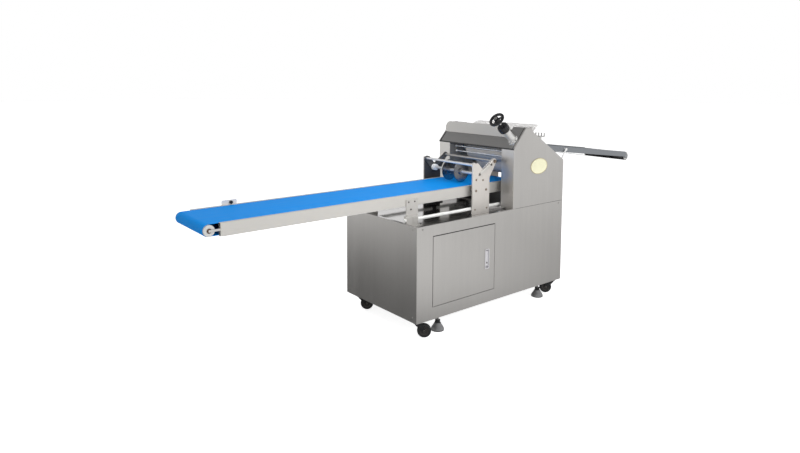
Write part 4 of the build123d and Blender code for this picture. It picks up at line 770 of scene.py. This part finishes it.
def levelling_feet():
    """Pad with a rubber sole, steel cone, dark nut and threaded stem, for each corner."""
    sole = [(0, 0.2), (40.5, 0.2), (42, 1), (42.4, 3), (42.2, 4.2), (40, 4.4)]
    cone = [(40, 4.2), (42, 4.4), (42.4, 7), (41.8, 11), (40.2, 15.5), (37.6, 20.5), (34.2, 26), (30.6, 31),
            (27.4, 36), (24.8, 41), (22.8, 45), *arc((18.4, 46), 3.6, 10, 90, 5), (8.2, 50)]
    nut = [(8.2, 50), (14, 50), (16.4, 50.8, 6), (18.6, 51.8, 6), (18.6, 66, 6), (16.4, 67.6), (8.2, 67.6)]
    core, crest, pitch = 7.1, 8, 2
    stem = [(core, 60)]
    for along in range(65, 107, pitch):
        stem.extend([(core, along), (crest, along + 0.9), (crest, along + 1.1)])
    stem.extend([(core, 107), (crest, 107.4), (crest, 131), (7.2, 131.8), (0, 131.8)])
    for corner in CORNERS:
        name = corner + "_levelling_foot"
        low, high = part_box(name)
        place = Vector(((low[0] + high[0]) / 2, (low[1] + high[1]) / 2, 0))
        mesh = bmesh.new()
        lathe(mesh, sole, place, UP, 56, 0)
        lathe(mesh, cone, place, UP, 56, 1)
        lathe(mesh, nut, place, UP, 36, 2)
        lathe(mesh, stem, place, UP, 28, 3)
        piece(corner + "_foot_pad", mesh, name, ["tyre", "foot", "black", "zinc"], [name], 40)


def caster_frame(corner):
    """Middle of a caster's wheel, its axle's direction, and the direction in which it trails."""
    low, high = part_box(corner + "_caster_wheel")
    middle = Vector(((low[0] + high[0]) / 2, (low[1] + high[1]) / 2, (low[2] + high[2]) / 2))
    heading = math.radians(CASTER_HEADING if corner.endswith("left") else CASTER_HEADING + 180)
    trail = Vector((math.cos(heading), math.sin(heading), 0))
    return middle, Vector((math.sin(heading), -math.cos(heading), 0)), trail


def casters():
    """Wheel with a round tread and a hub, and the fork's axle bolt and ball race, for each corner."""
    tread = [(29, -13.2), (33, -13.5), *arc((35.9, -5.7), 8, -80, -4, 8), *arc((35.9, 5.7), 8, 4, 80, 8),
             (33, 13.5), (29, 13.2)]
    hub = [(4.1, -13.8), (9.5, -13.8), (10.5, -13.2), (11, -10.5), (25, -9.8), (27.5, -11), (28, -13.4),
           (29.2, -13.6)]
    other_hub = [(radius, -along) for radius, along in hub]
    bore = [(4.1, -13.8), (4.1, 13.8)]
    bolt = [(7.5, 0), (7.5, 0.5), (5.6, 0.6, 6), (5.6, 1.7, 6), (4.7, 1.9), (0, 1.9)]
    fork_face = 18
    race = [(29.2, 92.4), (30.4, 93), (30.6, 96), (30, 97.6), (31, 98.4), (31, 101.4), (29.2, 102)]
    for corner in CORNERS:
        middle, axle, trail = caster_frame(corner)
        mesh = bmesh.new()
        lathe(mesh, tread, middle, axle, 72, 0)
        for profile in (hub, other_hub, bore):
            lathe(mesh, profile, middle, axle, 56, 1)
        piece(corner + "_tyre", mesh, corner + "_caster_wheel", ["tyre", "hub"],
              [corner + "_caster_wheel"], 40)
        mesh = bmesh.new()
        for side in (-1, 1):
            lathe(mesh, bolt, middle + axle * side * fork_face * MM, axle * side, 24)
        head = middle - trail * CASTER_TRAIL * MM
        head.z = 0
        lathe(mesh, race, head, UP, 56, 1)
        piece(corner + "_caster_race", mesh, corner + "_caster_fork", ["dark_screw", "black"])


def shaft_collars():
    """White collars at the ends of the cutter's shaft."""
    mesh = bmesh.new()
    axis = at(677, 0, 241.5)
    collar = [(10.05, 200), (21.4, 200), (23, 201.6), (23, 230.6), (21.6, 232), (10.05, 232)]
    for side in (-1, 1):
        lathe(mesh, collar, axis, FAR * side, 40)
    piece("shaft_collars", mesh, "cutter", ["guide"])


def cutter_post_bolts():
    """Screws of each cutter post, and the nut at the end of the tie rod."""
    mesh = bmesh.new()
    for side, outward in ((-1, NEAR), (1, FAR)):
        face = side * CUTTER_POST_FACE
        for station, height in ((627, 211), (693, 204)):
            screw(mesh, BUTTON_HEAD, at(station, face, height), outward, 7)
        for station, height in ((627, 136), (725, 136)):
            screw(mesh, HEXAGON_HEAD, at(station, face, height), outward, 6)
        for station in (620, 732):
            screw(mesh, BUTTON_HEAD, at(station, face, 8), outward, 6)
        screw(mesh, STUD_NUT, at(804, side * TIE_ROD_END, 324), outward, 9)
    piece("cutter_post_bolts", mesh, "machine", ["bolt"])


def cutter_stay_link():
    """Flat link with round ends and two screws on the near cutter post."""
    mesh = bmesh.new()
    lower, upper = (656, 246), (768, 304)
    end_radius = 11
    thickness = 5
    start_station, start_height = 660, 250
    lean = math.atan2(upper[1] - lower[1], upper[0] - lower[0])
    steps = 10
    outline = []
    for middle, start in ((upper, lean - math.pi / 2), (lower, lean + math.pi / 2)):
        for step in range(steps + 1):
            angle = start + math.pi * step / steps
            outline.append((middle[0] + end_radius * math.cos(angle) - start_station,
                            middle[1] + end_radius * math.sin(angle) - start_height))
    plate(mesh, outline, at(start_station, -CUTTER_POST_FACE, start_height), RIGHT, UP, thickness, 0.8)
    for station, height in (lower, upper):
        screw(mesh, HEXAGON_HEAD, at(station, -CUTTER_POST_FACE - thickness, height), NEAR, 6, 1)
    piece("cutter_stay_link", mesh, "machine", ["rail", "dark_screw"])


def conveyor_bolts():
    """Screws of the conveyor's posts and of their feet."""
    mesh = bmesh.new()
    for side, outward in ((-1, NEAR), (1, FAR)):
        for station, height in ((68, 122), (118, 122), (86, 74)):
            screw(mesh, BUTTON_HEAD, at(station, side * POST_FACE, height), outward, 5.5)
        for station in (34, 136):
            screw(mesh, HEXAGON_HEAD, at(station, side * 250, -20), UP, 5)
    piece("conveyor_bolts", mesh, "machine", ["dark_screw"])


def clamp_caps():
    """Cap that covers the guide bar's clamp at each conveyor post, with its ends set in a little."""
    mesh = bmesh.new()
    section = [(-19.5, 241.5), (30, 241.5), (33.5, 238), (38, 216), (36, 215.2), (-19.5, 215.2)]
    inner_edge = 216
    for side in (-1, 1):
        rings = []
        for station, inset in ((30, 1.2), (31.5, 0), (122.5, 0), (124, 1.2)):
            ring = []
            for height, reach in section:
                across = reach - inset if reach > inner_edge else reach
                lowered = height - inset if height > 0 else height
                ring.append(mesh.verts.new(at(station, side * across, lowered)))
            rings.append(ring)
        solid_loft(mesh, rings)
    piece("clamp_caps", mesh, "machine", ["post"])


cabinet_screws()
oval_plate()
handwheel()
position_counter()
sleeve_bolts()
latch_lock()
hood_trim()
guard_rods()
door_gap_shade_strip()
under_cover()
levelling_feet()
casters()
shaft_collars()
cutter_post_bolts()
cutter_stay_link()
conveyor_bolts()
clamp_caps()


# Studio

def floor_material():
    """Pale floor: white to the camera apart from the shadow, and for the steel a glow with painted shade and
    a painted pool of light.
    """
    finish = Finish("studio_floor", (0.86, 0.86, 0.86), 0.9)
    finish.shader.inputs["Emission Color"].default_value = (1, 1, 1, 1)
    light_path = finish.add("ShaderNodeLightPath").outputs
    mottle = finish.noise(1.2, 2, 0.5)
    finish.use(Base_Color=finish.mix(mottle, (0.85, 0.85, 0.85, 1), (0.87, 0.87, 0.87, 1)),
               Emission_Strength=finish.math("MULTIPLY", light_path["Is Camera Ray"], FLOOR_TO_CAMERA))
    # The steel sees painted shade round the machine's far left and a painted pool of light in front of its
    # near side
    away = finish.measure("DISTANCE", finish.place, DARK_PLACE)
    front = finish.measure("DOT_PRODUCT", finish.place, LIT_SIDE)
    pool = finish.measure("DISTANCE", finish.place, POOL_PLACE)
    glow = finish.math("MULTIPLY", finish.spread(away, *FLOOR_TO_STEEL, *FLOOR_REACH),
                       finish.spread(front, *LIT_GAIN, *LIT_REACH))
    glow = finish.math("ADD", glow, finish.spread(pool, POOL_LEVEL, 0, *POOL_REACH))
    mirrored = finish.add("ShaderNodeEmission", {"Strength": glow})
    seen = finish.math("MAXIMUM", light_path["Is Glossy Ray"], light_path["Is Transmission Ray"])
    both = finish.add("ShaderNodeMixShader", {0: seen, 1: finish.shader.outputs[0], 2: mirrored.outputs[0]})
    finish.tree.links.new(both.outputs[0], finish.tree.nodes["Material Output"].inputs["Surface"])
    return finish.material


def studio_floor():
    disc = bmesh.new()
    bmesh.ops.create_circle(disc, cap_ends=True, segments=64, radius=FLOOR_RADIUS)
    mesh = bpy.data.meshes.new("floor")
    disc.to_mesh(mesh)
    disc.free()
    mesh.materials.append(floor_material())
    floor = add_object("floor", mesh)
    floor.location.z = FLOOR_Z


def sky():
    """White to the camera, and a dome that is bright at the horizon for the light and the steel."""
    world = bpy.data.worlds.new("studio")
    bpy.context.scene.world = world
    world.use_nodes = True
    tree = world.node_tree
    background = tree.nodes["Background"]
    background.inputs["Color"].default_value = (1, 1, 1, 1)
    heading = add_node(tree, "ShaderNodeTexCoord").outputs["Generated"]
    rise = add_node(tree, "ShaderNodeSeparateXYZ", {0: heading}).outputs["Z"]
    levels = {"Value": rise, "From Min": DOME_RISE[0], "From Max": DOME_RISE[1],
              "To Min": HORIZON_LEVEL, "To Max": ZENITH_LEVEL}
    dome = add_node(tree, "ShaderNodeMapRange", levels, interpolation_type="SMOOTHSTEP")
    light_path = add_node(tree, "ShaderNodeLightPath").outputs
    rays = {0: light_path["Is Camera Ray"], 1: light_path["Is Transmission Ray"]}
    seen = add_node(tree, "ShaderNodeMath", rays, operation="MAXIMUM")
    level = add_node(tree, "ShaderNodeMix", {0: seen.outputs[0], 2: dome.outputs[0], 3: 1})
    tree.links.new(level.outputs[0], background.inputs["Strength"])


def lamp(name, place, target, size, power, spread):
    light = bpy.data.lights.new(name, "AREA")
    light.size = size
    light.energy = power
    light.spread = spread
    made = add_object(name, light)
    made.location = place
    made.visible_camera = False
    made.visible_glossy = False
    made.rotation_euler = (Vector(target) - Vector(place)).to_track_quat("-Z", "Y").to_euler()


def camera():
    right = Vector((math.cos(CAMERA_YAW), -math.sin(CAMERA_YAW), 0))
    level = Vector((math.sin(CAMERA_YAW), math.cos(CAMERA_YAW), 0))
    ahead = level * math.cos(CAMERA_PITCH) - UP * math.sin(CAMERA_PITCH)
    up = right.cross(ahead)
    tilted = right * math.cos(CAMERA_ROLL) + up * math.sin(CAMERA_ROLL)
    up = up * math.cos(CAMERA_ROLL) - right * math.sin(CAMERA_ROLL)
    lens = bpy.data.cameras.new("camera")
    lens.sensor_width = SENSOR_WIDTH
    lens.sensor_fit = "HORIZONTAL"
    lens.lens = SENSOR_WIDTH * FOCAL_PIXELS / IMAGE_WIDTH
    lens.shift_y = (PRINCIPAL_ROW - IMAGE_HEIGHT / 2) / IMAGE_WIDTH
    made = add_object("camera", lens)
    made.matrix_world = Matrix((tilted, up, -ahead)).transposed().to_4x4()
    made.location = CAMERA_PLACE
    bpy.context.scene.camera = made


studio_floor()
sky()
for values in LAMPS:
    lamp(*values)
camera()
bpy.context.scene.view_settings.view_transform = "Standard"
